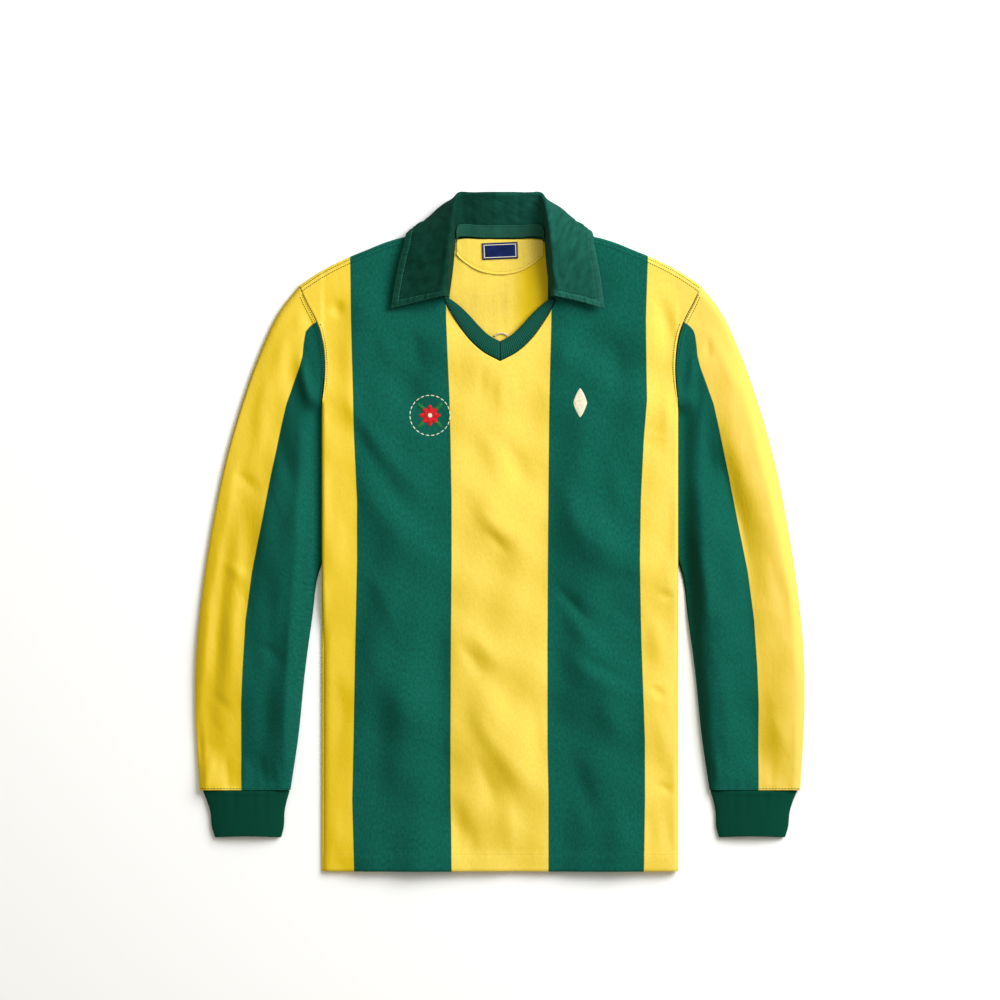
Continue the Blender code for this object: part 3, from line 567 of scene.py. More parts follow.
def wall(points, quads, thickness):
    """A closed wall round a middle surface, with rounded edges: both faces lie half the thickness off it,
    drawn in a little at an open edge, where a rim in two rows joins them. Also gives, for each point of the
    wall, the number of the middle point that it came from, and the middle surface's normals."""
    corner = points[quads]
    face = np.cross(corner[:, 2] - corner[:, 0], corner[:, 3] - corner[:, 1])
    normal = np.zeros_like(points)
    for k in range(4):
        np.add.at(normal, quads[:, k], face)
    normal = unit(normal)
    count = len(points)
    start, end = quads.ravel(), np.roll(quads, -1, axis=1).ravel()
    is_open = ~np.isin(start * count + end, end * count + start)
    start, end = start[is_open], end[is_open]
    aside = np.cross(unit(points[end] - points[start]), normal[start])
    outward = np.zeros_like(points)
    np.add.at(outward, start, aside)
    np.add.at(outward, end, aside)
    drawn_in = 0.35 * thickness * unit(outward)
    border = np.unique(start)
    rim = np.zeros(count, int)
    rim[border] = 2 * count + np.arange(len(border))
    upper = points + 0.5 * thickness * normal - drawn_in
    lower = points - 0.5 * thickness * normal - drawn_in
    faces = np.concatenate([quads, quads[:, ::-1] + count,
                            np.stack([end, start, rim[start], rim[end]], -1),
                            np.stack([rim[end], rim[start], start + count, end + count], -1)])
    source = np.concatenate([np.arange(count), np.arange(count), border])
    return np.concatenate([upper, lower, points[border]]), faces, source, normal


def make_mesh(name, points, *face_sets):
    """A mesh object from an array of points and arrays of faces, smooth-shaded, facing outwards: all are
    reversed where the volume under the first array's faces comes out negative."""
    corners = [points[faces[:, k]] for faces in face_sets[:1] for k in range(faces.shape[1])]
    fans = range(1, len(corners) - 1)
    volume = sum(np.sum(corners[0] * np.cross(corners[k], corners[k + 1])) for k in fans)
    if volume < 0.0:
        face_sets = [faces[:, ::-1] for faces in face_sets]
    numbers = np.concatenate([faces.ravel() for faces in face_sets])
    sides = np.concatenate([np.full(len(faces), faces.shape[1]) for faces in face_sets])
    starts = np.concatenate([[0], np.cumsum(sides)[:-1]])
    mesh = bpy.data.meshes.new(name)
    mesh.vertices.add(len(points))
    mesh.vertices.foreach_set("co", (points * MM).ravel())
    mesh.loops.add(len(numbers))
    mesh.loops.foreach_set("vertex_index", numbers.astype(np.int32))
    mesh.polygons.add(len(starts))
    mesh.polygons.foreach_set("loop_start", starts.astype(np.int32))
    mesh.update(calc_edges=True)
    mesh.validate()
    mesh.shade_smooth()
    piece = bpy.data.objects.new(name, mesh)
    bpy.context.scene.collection.objects.link(piece)
    return piece


def finish_piece(piece, material, node=None):
    """Gives a piece its material and body and, for cloth, hides the imported solid that it stands for."""
    piece.data.materials.append(material)
    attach(piece, "root")
    if node:
        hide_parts(node)
    return piece


def cloth(name, node, material, middle, quads, thickness, values):
    """One cloth piece from its middle surface. values are its attributes by name, one value or vector a
    point: grain is the place on the cloth in metres, yellow the distance in mm into a yellow stripe. A
    painted shade value is added to them: how far the cloth slopes away from the key light."""
    points, faces, source, normal = wall(middle, quads, thickness)
    # Painted shade value: how far each point's slope faces away from the key light
    values = {"painted_shade": -(normal[:, :2] @ TOWARDS_KEY_LIGHT) * np.sign(normal[:, 2]), **values}
    piece = make_mesh(name, points, faces)
    for key, value in values.items():
        value = np.asarray(value, np.float32)[source]
        kind, field = ("FLOAT", "value") if value.ndim == 1 else ("FLOAT_VECTOR", "vector")
        kept = piece.data.attributes.new(key, kind, "POINT")
        kept.data.foreach_set(field, value.ravel())
    return finish_piece(piece, material, node)


def grid_cloth(name, node, material, grid, thickness, values, closed=False):
    """One cloth piece from a grid of points on its middle surface, closed to a tube or open."""
    quads = quads_of(grid_numbers(*grid.shape[:2], closed))
    return cloth(name, node, material, grid.reshape(-1, 3), quads, thickness, values)


def closed_tube(upper, lower):
    """The upper ply's columns, then the lower ply's without its two edges, the other way round."""
    return np.concatenate([upper, lower[:, -2:0:-1]], axis=1)


def grain_of(u, v):
    """Places on the cloth, across and along its grain, in metres."""
    u, v = np.broadcast_arrays(u, v)
    return np.column_stack([u.ravel(), v.ravel(), np.zeros(u.size)]) * MM


def into_body_yellow(x, y):
    """Signed distance into the nearest yellow stripe, from the four stripe edges at y."""
    table = np.asarray(STRIPE_EDGES)
    edge = [np.interp(y, table[:, 0], table[:, k]) for k in range(1, 5)]
    return np.maximum(np.maximum(edge[0] - x, x - edge[3]), np.minimum(x - edge[1], edge[2] - x))


def into_sleeve_yellow(x, y):
    """Signed distance to the sleeve's stripe edge: the nearest of its segments, positive on the outer
    side."""
    path = np.asarray(SLEEVE_STRIPE)
    start, step = path[:-1], np.diff(path, axis=0)
    px, py = np.ravel(x)[:, None] - start[:, 0], np.ravel(y)[:, None] - start[:, 1]
    share = np.clip((px * step[:, 0] + py * step[:, 1]) / np.sum(step ** 2, axis=1), 0.0, 1.0)
    away = np.hypot(px - share * step[:, 0], py - share * step[:, 1])
    nearest = np.argmin(away, axis=1)
    row = np.arange(len(nearest))
    side = step[nearest, 0] * py[row, nearest] - step[nearest, 1] * px[row, nearest]
    return (away[row, nearest] * np.sign(side)).reshape(np.shape(x))


def body_grid(half_width, upper_middle, top_y, lower_rows, columns):
    """Half a body panel as cut: rows from the hem up, columns from the middle to the side. columns are the
    numbers of columns on the body, in the side fold and on the flap. Above the fold they even out."""
    armhole = np.asarray(ARMHOLE, float)[::-1].copy()
    armhole[:, 0] -= (HALF_CHEST - half_width) * ramp(armhole[:, 0], BACK_NARROWS_X, HALF_CHEST)
    upper = at_fractions(through(armhole, TABLE_STEPS), np.linspace(0.0, 1.0, len(upper_middle)))
    lower_y = np.linspace(HEM_Y, UNDERARM_Y, lower_rows + 1)[:-1]
    side = np.vstack([np.column_stack([np.full(lower_rows, half_width), lower_y]), upper])
    middle = np.vstack([np.column_stack([np.zeros(lower_rows), lower_y]), upper_middle])
    side_x, inner_x = side[:, :1], middle[:, :1]
    fold_end = side_x - np.maximum(side_x - FOLD_END, LEAST_FLAP)
    fold_start = np.minimum(FOLD_START, fold_end - 2.0 * LEAST_FLAP)
    on_body, in_fold, on_flap = (np.linspace(0.0, 1.0, n + 1)[None, :] for n in columns)
    x = np.hstack([inner_x + (fold_start - inner_x) * on_body,
                   (fold_start + (fold_end - fold_start) * in_fold)[:, 1:],
                   (fold_end + (side_x - fold_end) * on_flap)[:, 1:]])
    evenly = inner_x + (side_x - inner_x) * np.linspace(0.0, 1.0, x.shape[1])[None, :]
    x = x + (evenly - x) * ramp(side[:, 1:], FOLD_TOP_Y + 8.0, FOLD_TOP_Y + 60.0)
    share = (x - inner_x) / (side_x - inner_x)
    y = middle[:, 1:] + (side[:, 1:] - middle[:, 1:]) * share
    bend = top_y(x[-1]) - y[-1]
    return np.stack([x, y + np.linspace(0.0, 1.0, len(side))[:, None] ** 3 * bend], -1)


def flat_values(flat):
    """The attributes of a body panel as cut."""
    return {"grain": grain_of(flat[:, 0], flat[:, 1]), "yellow": into_body_yellow(flat[:, 0], flat[:, 1])}


def both_halves(half, joined_rows):
    """The whole panel's points and quads, with the halves joined along the middle up to joined_rows."""
    rows, columns = half.shape[:2]
    both = np.concatenate([half * (-1.0, 1.0), half])
    number = grid_numbers(2 * rows, columns)
    left, right = number[:rows], number[rows:].copy()
    right[:joined_rows, 0] = left[:joined_rows, 0]
    quads = np.concatenate([quads_of(left)[:, ::-1], quads_of(right)])
    used, quads = np.unique(quads, return_inverse=True)
    return both, used, quads.reshape(-1, 4)


def seam_relief(half, seed):
    """Raised edges and gathers of a panel: the hem's doubled band, the armhole's and the shoulder's beads."""
    x, y = half[..., 0], half[..., 1]
    up = y - HEM_Y
    hem = 0.55 * (1.0 - ramp(up, HEM_STITCH - 1.8, HEM_STITCH + 0.6)) - 0.35 * bell(up - HEM_STITCH, 1.3)
    hem = hem + 0.30 * pucker(x, seed, 7.5) * bell(up - HEM_STITCH, 8.0)
    from_side = travelled(half[:, ::-1])[:, ::-1]
    from_top = travelled_up(half[::-1])[::-1]
    open_side = ramp(y, FOLD_TOP_Y, FOLD_TOP_Y + 14.0)
    side = (0.7 * bell(from_side - 1.2, 1.3) - 0.3 * bell(from_side - ARMHOLE_STITCH, 0.8)
            + 0.22 * pucker(y, seed + 1, 6.5) * bell(from_side - 3.0, 4.0)) * open_side
    rows = sum(bell(from_top - distance, 0.9) for distance in SHOULDER_STITCHES)
    top = (0.3 * bell(from_top - 1.2, 1.3) - 0.25 * rows
           + 0.18 * pucker(x, seed + 2, 6.0) * bell(from_top - 5.0, 5.0)) * ramp(np.abs(x), 60.0, 80.0)
    return hem + side + top


def lies_flat(x, y):
    """1 on the open part of the front, 0 on its side folds."""
    beside = ramp(np.abs(x), SIDE_FOLD_X - 12.0, SIDE_FOLD_X - 2.0)
    return 1.0 - beside * (1.0 - ramp(y, FOLD_TOP_Y, FOLD_TOP_Y + 24.0))


def front_relief(x, y):
    """Listed folds, small wrinkles and slow waves of the front, none at its side folds."""
    small = wrinkles(11, 110, (-195.0, 195.0, -385.0, 240.0), -1.15)
    total = FRONT_FOLD_DEPTH * folds(x, y, FRONT_FOLDS) + FRONT_WRINKLE_DEPTH * folds(x, y, small)
    total = total + waves(x, y, 5, 9, 150.0, 38.0, 1.0, 1.6)
    quiet = 1.0 - 0.8 * ramp(y, 250.0, 320.0)
    return total * lies_flat(x, y) * quiet


def side_fall(placed):
    """How far the front falls towards its side folds below the sleeves, more on the wearer's right. The
    turned-under ply stays on the ground."""
    x, y, z = placed[..., 0], placed[..., 1], placed[..., 2]
    fall = np.where(x < 0.0, RIGHT_FALL * ramp(-x, *RIGHT_FALL_X), LEFT_FALL * ramp(x, *LEFT_FALL_X))
    return fall * (1.0 - ramp(y, *FALL_Y)) * ramp(z, 2.0, 9.5)


def rise_off_back(placed):
    """What keeps the front a ply above the back where it would sink lower, with a soft corner: half of the
    depth it is too low and its root of squares with a small number."""
    x, y, z = placed[..., 0], placed[..., 1], placed[..., 2]
    low = back_z(np.abs(x), y) + PLY - z
    rise = 0.5 * (low + np.sqrt(low ** 2 + 0.5))
    return rise * (1.0 - ramp(np.abs(x), 196.0, 203.0)) * (1.0 - ramp(y, 90.0, 140.0))


def make_front():
    """The front: both halves as cut, laid over and turned under, then seams, folds, fall and rise added to
    its heights. The V is a smooth curve up to its corner and straight beyond. Also gives each half's grid."""
    middle_y = np.linspace(UNDERARM_Y, FRONT_NECK[-1][1], FRONT_MIDDLE_ROWS + 1)[:-1]
    neck = np.asarray(FRONT_NECK, float)[::-1]
    spans = [np.linspace(k, k + 1, n, endpoint=False) for k, n in enumerate(NECK_SPAN_ROWS)]
    neck_rows = np.concatenate([np.arange(51) / 10.0, np.arange(6.0, 10.0)])
    neck = np.vstack([through(neck[:6], 10), neck[6:]])
    upper = read_at(np.concatenate([*spans, [len(spans)]]), neck_rows, neck)
    middle = np.vstack([np.column_stack([np.zeros(FRONT_MIDDLE_ROWS), middle_y]), upper])
    half = body_grid(HALF_CHEST, middle, shoulder_y, FRONT_LOWER_ROWS, FRONT_COLUMNS)
    both, used, quads = both_halves(half, FRONT_LOWER_ROWS + FRONT_MIDDLE_ROWS + 1)
    x, y = both[..., 0], both[..., 1]
    placed = tuck(both, front_z, 0, 0.0)
    relief = np.concatenate([seam_relief(half, 20)] * 2)
    on_top = (placed[..., 2] > 6.5) | (y > 200.0)
    placed[..., 2] += relief * on_top + front_relief(x, y) * (np.abs(x) < 204.0)
    placed[..., 2] -= side_fall(placed)
    placed[..., 2] += on_top * rise_off_back(placed)
    piece = cloth("body_front", "front", jersey_cloth, placed.reshape(-1, 3)[used], quads, JERSEY,
                  flat_values(both.reshape(-1, 2)[used]))
    return piece, np.split(placed, 2)[::-1]


def back_relief(x, y):
    """Drawn-out gathers where the back shows inside the neck."""
    seen = bell(x, 60.0) * ramp(y, 170.0, 215.0)
    return np.maximum(0.6 * waves(x, y, 31, 8, 30.0, 7.0, 0.5, 1.8) * seen, -0.1)


def make_back():
    """The back: both halves as cut, laid and turned under inside the front's fold, with gathers at the neck
    and along the hem. It gets a painted shadow where the collar shades it inside the neck."""
    middle_y = np.linspace(UNDERARM_Y, BACK_NECK[-1][1], BACK_UPPER_ROWS)
    middle = np.column_stack([np.zeros(BACK_UPPER_ROWS), middle_y])
    half = body_grid(HALF_CHEST_BACK, middle, back_top_y, BACK_LOWER_ROWS, BACK_COLUMNS)
    both, used, quads = both_halves(half, len(half))
    placed = tuck(both, back_z, 1, PLY + FOLD_EASE)
    x, y = both[..., 0], both[..., 1]
    hem = 0.25 * bell(y - HEM_Y - HEM_STITCH, 8.0) * (1.0 + pucker(x, 33, 7.5))
    placed[..., 2] += back_relief(x, y) + hem
    flat = both.reshape(-1, 2)[used]
    x, y = flat.T
    values = flat_values(flat)
    values["yellow"] -= BACK_STRIPE_IN * bell(np.abs(x) - 56.0, 25.0) * ramp(y, 150.0, 200.0)
    # Painted shadow of the collar and its stand on the back, seen inside the neck
    values["painted_shade"] = 0.5 * ramp(x, 8.0, 32.0) * ramp(y, 195.0, 240.0)
    return cloth("body_back", "back", jersey_cloth, placed.reshape(-1, 3)[used], quads, JERSEY,
                 values)


def sleeve_grid(rows, columns, relief, lean, tilted):
    """The sleeve on +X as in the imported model, with relief on its upper ply: the closed tube, the upper ply
    and the distance around. lean times tilted, a function of the share across, tilts its crown."""
    across = 0.5 - 0.5 * np.cos(np.linspace(0.0, np.pi, columns + 1))
    along = np.linspace(0.0, 1.0, rows + 1)
    evenly = np.linspace(0.0, 1.0, columns + 1)
    outer = at_fractions(inset(through(SLEEVE_OUTER, TABLE_STEPS), FLOOR), along)
    inner = at_fractions(inset(through(SLEEVE_INNER, TABLE_STEPS), -FLOOR), along)
    seam = at_fractions(through(ARMHOLE, TABLE_STEPS), evenly)
    seam_plan = turn_under(seam)
    outer[0], inner[0] = seam_plan[0], seam_plan[-1]
    cuff_seam = outer[-1] + across[:, None] * (inner[-1] - outer[-1])
    plan = patch(outer, inner, seam_plan, cuff_seam, across, along)
    x, y = plan[..., 0], plan[..., 1]
    width = np.linalg.norm(inner - outer, axis=1)[:, None]
    from_outer, from_inner = across * width, (1.0 - across) * width
    u, w = across[None, :], along[:, None]
    opened = 1.0 - ramp(y, *INNER_FOLD_OPENS_Y)
    inner_half = HIDDEN_EDGE_HALF + (SLEEVE_EDGE_HALF - HIDDEN_EDGE_HALF) * opened
    edge_half = SLEEVE_EDGE_HALF + (inner_half - SLEEVE_EDGE_HALF) * u
    crown = CUFF_CROWN + (SLEEVE_CROWN - CUFF_CROWN) * ramp(w, *CROWN_RISES) * (1.0 - ramp(w, *CROWN_FALLS))
    crown = crown * (CROWN_AT_EDGES + (1.0 - CROWN_AT_EDGES) * np.sin(np.pi * u))
    rise = np.minimum(brim(from_outer, OUTER_ROUND), brim(from_inner, INNER_ROUND))
    top = FLOOR + edge_half + (crown - edge_half) * rise
    seam_z = front_z(seam[:, 0], seam[:, 1])
    seam_z[0], seam_z[-1] = FLOOR + SLEEVE_EDGE_HALF, FLOOR + HIDDEN_EDGE_HALF
    top = seam_z + (top - seam_z) * ramp(w, *CROWN_MEETS_SEAM)
    under_body = (1.0 - ramp(x, *PRESSED_X)) * (1.0 - ramp(y, *PRESSED_Y))
    pressed = FLOOR + edge_half + (PLY - edge_half) * rise
    top = top + (pressed - top) * under_body
    lowered = np.minimum(brim(from_outer, SLEEVE_EDGE_HALF), brim(from_inner, edge_half))
    bottom = FLOOR + edge_half * (1.0 - lowered)
    shown = (1.0 - under_body) * ramp(from_outer, 2.0, 9.0) * ramp(from_inner, 2.0, 9.0)
    lean = lean * (1.0 + 0.5 * bell(w - 0.35, 0.22))
    top = top + lean * tilted(u) * rise * (1.0 - under_body) * ramp(w, 0.05, 0.3) * (1.0 - ramp(w, 0.9, 1.0))
    from_seam = travelled_up(plan)
    to_cuff = travelled_up(plan[::-1])[::-1]
    near_row, far_row = SLEEVE_STITCHES
    stitched = (0.5 * (1.0 - ramp(from_seam, 5.0, 6.8)) - 0.3 * bell(from_seam - near_row, 0.8)
                - 0.3 * bell(from_seam - far_row, 0.9) + 0.2 * pucker(y, 41, 6.5) * bell(from_seam - 5.0, 6.0)
                + 0.5 * pucker(x, 42, 13.0) * bell(to_cuff, 16.0) - 0.4 * bell(to_cuff - CUFF_STITCH, 0.9)
                + 0.35 * bell(to_cuff - 0.6, 1.0))
    top = top + shown * (relief(x, y) * ramp(from_seam, 0.0, 12.0) * ramp(to_cuff, 0.0, 6.0) + stitched)
    upper = np.dstack([plan, top])
    tube = closed_tube(upper, np.dstack([plan, bottom]))
    return tube, upper, closed_tube(from_outer, 2.0 * width - from_outer)


def make_sleeve(side, sign, table, depth, seed, lean, tilted):
    """side is the wearer's. The +X sleeve is worked out, and the other is its mirror with its own folds."""
    small = wrinkles(seed, 70, (212.0, 335.0, -290.0, 240.0), -1.35)

    def relief(x, y):
        return (depth * folds(x, y, table) + folds(x, y, small)
                + waves(x, y, seed + 1, 8, 95.0, 26.0, 0.5, 1.8))

    tube, upper, around = sleeve_grid(SLEEVE_ROWS, SLEEVE_COLUMNS, relief, lean, tilted)
    length = SLEEVE_LENGTH * np.linspace(0.0, 1.0, SLEEVE_ROWS + 1)[:, None]
    values = {"grain": grain_of(around, length),
              "yellow": into_sleeve_yellow(tube[..., 0], tube[..., 1]).ravel()}
    piece = grid_cloth("sleeve_" + side + "_cloth", "sleeve_" + side, jersey_cloth,
                       mirrored(tube, sign), JERSEY, values, closed=True)
    return piece, mirrored(upper, sign)


def make_cuff(side, sign, seed):
    """A ribbed tube pressed flat, rounded at its lower corners, gently waved where it is gathered."""
    across = 0.5 - 0.5 * np.cos(np.linspace(0.0, np.pi, CUFF_COLUMNS + 1))
    edges = at_fractions(through(CUFF, 8), np.linspace(0.0, 1.0, CUFF_ROWS + 1))
    half_cloth = CUFF_CLOTH / 2.0
    outer_x, inner_x, y = edges[:, :1] - half_cloth, edges[:, 1:2] + half_cloth, edges[:, 2:]
    x = outer_x + (inner_x - outer_x) * across
    w = np.linspace(0.0, 1.0, CUFF_ROWS + 1)[:, None]
    height = CUFF_CROWN + (CUFF_END_CROWN - CUFF_CROWN) * w
    rise = np.sqrt(np.sin(np.pi * across))
    edge = half_cloth + CUFF_EDGE_HALF
    top = edge + (height - edge) * rise
    waved = 0.45 * pucker(x, seed, 15.0) * (1.0 - ramp(w, 0.1, 0.9)) + 0.25 * pucker(x, seed + 1, 30.0)
    top = top + (waved + 0.6 * bell(w * CUFF_LENGTH - 3.0, 2.0)) * ramp(rise, 0.5, 0.9)
    lowered = np.minimum(1.0, 3.0 * np.sin(np.pi * across)) * np.ones_like(height)
    bottom = edge - CUFF_EDGE_HALF * lowered
    arch = 1.2 * np.sin(np.pi * across) * w ** 2
    y = y * np.ones_like(x) + arch + 0.5 * (1.0 - ramp(w, 0.0, 0.12))
    tube = closed_tube(np.dstack([x, y, top]), np.dstack([x, y, bottom]))
    around = across * np.abs(inner_x - outer_x) * np.ones_like(y)
    values = {"grain": grain_of(closed_tube(around, around), -CUFF_LENGTH * w)}
    return grid_cloth("cuff_" + side + "_rib", "cuff_" + side, cuff_rib_knit,
                      mirrored(tube, sign), CUFF_CLOTH, values, closed=True)


def collar_sections():
    """Four points a section, wearer's right to left, and with them two that round the roll."""
    halves = []
    for roll_shift, edge_shift in zip(ROLL_SHIFT, EDGE_SHIFT):
        rows = np.asarray(COLLAR, float).reshape(-1, 4, 3)
        rows[:, 1, 0] += roll_shift
        rows[:, 1, 1] -= TOP_LOWERED * ramp(rows[:, 1, 1], 340.0, 380.0)
        rows[:, 3, 0] += edge_shift
        rows[-1, 3, 1] -= POINT_LOWERED
        rows[-3:, :, 2] += POINTS_RAISED
        halves.append(rows)
    rows = np.concatenate([mirrored(halves[1][:0:-1]), halves[0]])
    seam, roll, leaf, edge = rows.transpose(1, 0, 2)
    inside = roll + ROLL_HALF * unit(seam - roll)
    outside = roll + ROLL_HALF * unit(leaf - roll)
    return [np.stack(points) for points in zip(seam, inside, roll, outside, leaf, edge)]


def along_collar(sections, steps):
    """A grid of smooth lines through the sections' points, with so many steps from one to the next."""
    grid = np.stack(sections)
    return through(grid.reshape(len(grid), -1), steps).reshape(-1, *grid.shape[1:])


def close_divided(sections):
    """The collar's grid, divided closely towards its edges. A fourth value goes from 0 at the seam, over 0.4
    at the roll, to 1 at the edge."""
    lines = []
    for section in sections:
        curve = through(section, 14)
        curve = np.column_stack([curve, np.linspace(0.0, 1.0, len(curve))])
        length = travelled(curve)[-1]
        others = np.linspace(BAND_COLUMNS[-1], length, OTHER_COLUMNS + 1)[1:]
        from_edge = np.concatenate([BAND_COLUMNS, others])
        lines.append(at_fractions(curve, 1.0 - from_edge[::-1] / length))
    grid = along_collar(lines, COLLAR_STEPS)
    far = travelled(grid[:, -1])
    middle = np.linspace(CLOSE_ROWS_REACH, far[-1] - CLOSE_ROWS_REACH, MIDDLE_ROWS)
    places = np.concatenate([END_ROWS, middle, (far[-1] - END_ROWS)[::-1]])
    rows = np.interp(places, far, np.arange(len(far)))
    low = np.minimum(rows.astype(int), len(far) - 2)
    part = (rows - low)[:, None, None]
    return grid[low] * (1.0 - part) + grid[low + 1] * part


def make_collar():
    """Stand and leaf in one sheet. Its edges are two plies pressed and stitched, so the band outside the
    stitching is raised and puckered. The stand has soft upright ripples."""
    grid = close_divided(collar_sections())
    share = grid[..., 3]
    grid = grid[..., :3].copy()
    grid[..., 2] = np.maximum(grid[..., 2], COLLAR_CLOTH / 2.0)
    normal = facing(grid, HEADWARDS)
    to_edge = travelled(grid[:, ::-1])[:, ::-1]
    along = travelled_up(grid)
    to_front = np.minimum(along, along[-1:] - along)
    rim = np.minimum(to_edge, to_front)
    path = np.where(to_edge < to_front, along, to_edge)
    stand = (1.0 - ramp(share, 0.3, 0.42)) * ramp(share, 0.02, 0.08)
    on_leaf = ramp(share, 0.45, 0.6)
    lift = (0.6 * (1.0 - ramp(rim, 5.8, 7.4)) - 0.6 * bell(rim - COLLAR_STITCH, 1.0)
            + 0.85 * pucker(path, 51, 6.4) * bell(rim - 4.0, 4.0)) * on_leaf
    upright = grid[:, :1, 0]
    lift = lift + stand * (0.6 * pucker(upright, 52, 21.0) + 0.25 * pucker(upright, 53, 9.0))
    wavy = 0.8 * waves(grid[..., 0], grid[..., 1], 54, 7, 70.0, 18.0, 0.5)
    lift = lift + wavy * on_leaf * ramp(rim, 6.0, 16.0)
    moved = grid + lift[..., None] * normal
    moved[..., 2] = np.maximum(moved[..., 2], COLLAR_CLOTH / 2.0)
    values = {"grain": grain_of(along, to_edge), "rim": rim.ravel()}
    piece = grid_cloth("collar_twill", "collar", collar_cloth, moved, COLLAR_CLOTH, values)
    return piece, moved, facing(moved, HEADWARDS), on_leaf[0] > 0.5


def make_neck_tape():
    """The tape on the collar's stand: a band of the stand's own surface, moved inwards by half of both
    cloths and the gaps, with the stand's ripples and a dent under its row of stitches."""
    edge_to_edge = np.linspace(TAPE_START, TAPE_START + TAPE_WIDTH, 13)
    sections = []
    for section in collar_sections()[TAPE_SECTIONS]:
        curve = through(section, 8)
        length = travelled(curve)[-1]
        sections.append(at_fractions(curve, edge_to_edge / length))
    stand = along_collar(sections, 12)
    inwards = facing(stand, UPWARDS)
    along = travelled_up(stand)
    lift = COLLAR_CLOTH / 2.0 + 3.0 * GAP + TRIM_CLOTH / 2.0 + 0.15
    up = (edge_to_edge - TAPE_START)[None, :] * np.ones_like(along)
    ripples = 0.6 * np.maximum(pucker(stand[:, :1, 0], 52, 21.0), -0.2)
    lift = lift + ripples - 0.25 * bell(up - TAPE_WIDTH + TAPE_STITCH, 0.9)
    grid = stand + lift[..., None] * inwards
    piece = grid_cloth("neck_tape_weave", "neck_tape", tape_weave, grid, TRIM_CLOTH,
                       {"grain": grain_of(along, up)})
    return piece, grid, inwards


def half_moon_z(x, y):
    """The half-moon's middle height: a gap above the back's upper face."""
    return back_z(x, y) + FLOOR + GAP + TRIM_CLOTH / 2.0


def make_half_moon():
    """The half-moon: half an ellipse hung from the back's neck seam, with a raised edge and small waves."""
    x = np.linspace(-HALF_MOON_HALF_WIDTH, HALF_MOON_HALF_WIDTH, 97)[None, :]
    down = np.linspace(0.0, 1.0, 34)[:, None]
    drop = HALF_MOON_DROP * np.sqrt(1.0 - (x / HALF_MOON_ELLIPSE) ** 2)
    y = back_neck_y(x) - NECK_SEAM_IN - down * drop
    x = x * np.ones_like(y)
    rim = (1.0 - down) * drop
    z = half_moon_z(x, y) + 0.5 * bell(rim - 1.0, 1.6) - 0.2 * bell(rim - 4.0, 1.2)
    z = z + 0.35 * np.maximum(waves(x, y, 61, 6, 34.0, 10.0, 0.5, 3.0), 0.0) * ramp(rim, 2.0, 10.0)
    grid = np.dstack([x, y, z])
    values = {"grain": grain_of(x, y), "yellow": np.full(x.size, 9.0)}
    piece = grid_cloth("half_moon_patch", "half_moon", jersey_cloth, grid, TRIM_CLOTH, values)
    return piece, grid


def make_label():
    """The label: a turned rectangle on the half-moon, its long edges a little waved."""
    across = np.linspace(-0.5, 0.5, 42) * LABEL_SIZE[0]
    up = np.linspace(-0.5, 0.5, 20) * LABEL_SIZE[1]
    u, v = np.meshgrid(across, up)
    x = LABEL_CENTRE[0] + u * np.cos(LABEL_TURN) - v * np.sin(LABEL_TURN)
    y = LABEL_CENTRE[1] + u * np.sin(LABEL_TURN) + v * np.cos(LABEL_TURN)
    z = half_moon_z(x, y) + TRIM_CLOTH + GAP + 0.25 + 0.25 * np.cos(u / 9.0) * (v / 10.0)
    grid = np.dstack([x, y, z])
    piece = grid_cloth("label_weave", "neck_label", label_weave, grid, TRIM_CLOTH,
                       {"grain": grain_of(u, v)})
    return piece, grid


def make_neck_rib(side, sign):
    """Half the V insert: a rib band from the front's V to its inner edge. Its ribs are fine ridges across
    the band, and its inner edge is a soft fold."""
    v_edge, inner = (through(edge, 60) for edge in (FRONT_NECK[-6:], RIB_INNER))
    outer = v_edge + 2.0 * GAP * unit(inner - v_edge)
    share = np.linspace(0.0, 1.0, 15)
    plan = outer[:, None] + share[None, :, None] * (inner - outer)[:, None]
    plan[..., 0] = np.maximum(plan[..., 0], 0.1)
    z = front_z(plan[..., 0], plan[..., 1])
    along = travelled(plan[:, 7])[:, None] * np.ones_like(z)
    across = travelled(plan)
    width = across[:, -1:]
    ridge = np.cos(2.0 * np.pi * along / RIB_PITCH) * np.sin(np.pi * share)[None, :] ** 0.4
    fold = 0.55 * np.sin(np.pi * np.clip(across / width, 0.0, 1.0))
    z = z + RIB_HEIGHT * ridge + fold - 0.4 * bell(across, 1.0)
    values = {"grain": grain_of(along, across), "rib": ridge.ravel()}
    return grid_cloth("neck_rib_" + side + "_knit", "neck_rib_" + side, neck_rib_knit,
                      mirrored(np.dstack([plan, z]), sign), RIB_CLOTH, values)


# Stitching

def grains(centre, along, up, length, width, height):
    """Many closed grains, one for each centre: an ellipsoid of three rings of six points and two poles,
    its length on the along axis and its height on the up axis."""
    side = np.cross(up, along)
    ring = np.linspace(0.0, 2.0 * np.pi, 6, endpoint=False)
    turn = np.array([0.25, 0.5, 0.75])[:, None] * np.pi
    local = np.stack([-np.cos(turn) * np.ones_like(ring), np.sin(turn) * np.cos(ring),
                      np.sin(turn) * np.sin(ring)], -1).reshape(-1, 3)
    local = np.vstack([local, [[-1.0, 0.0, 0.0], [1.0, 0.0, 0.0]]]) * 0.5
    size = np.array([length, width, height])
    axes = np.stack([along, side, up], axis=1)
    points = centre[:, None] + np.einsum("pk,nkd->npd", local * size, axes)
    number = np.arange(6)
    after = np.roll(number, -1)
    belt = np.stack([number, after, after + 6, number + 6], -1)
    belts = np.concatenate([belt, belt + 6])
    caps = np.concatenate([np.stack([np.full(6, 18), after, number], -1),
                           np.stack([np.full(6, 19), number + 12, after + 12], -1)])
    start = (20 * np.arange(len(centre)))[:, None, None]
    return points.reshape(-1, 3), (belts + start).reshape(-1, 4), (caps + start).reshape(-1, 3)


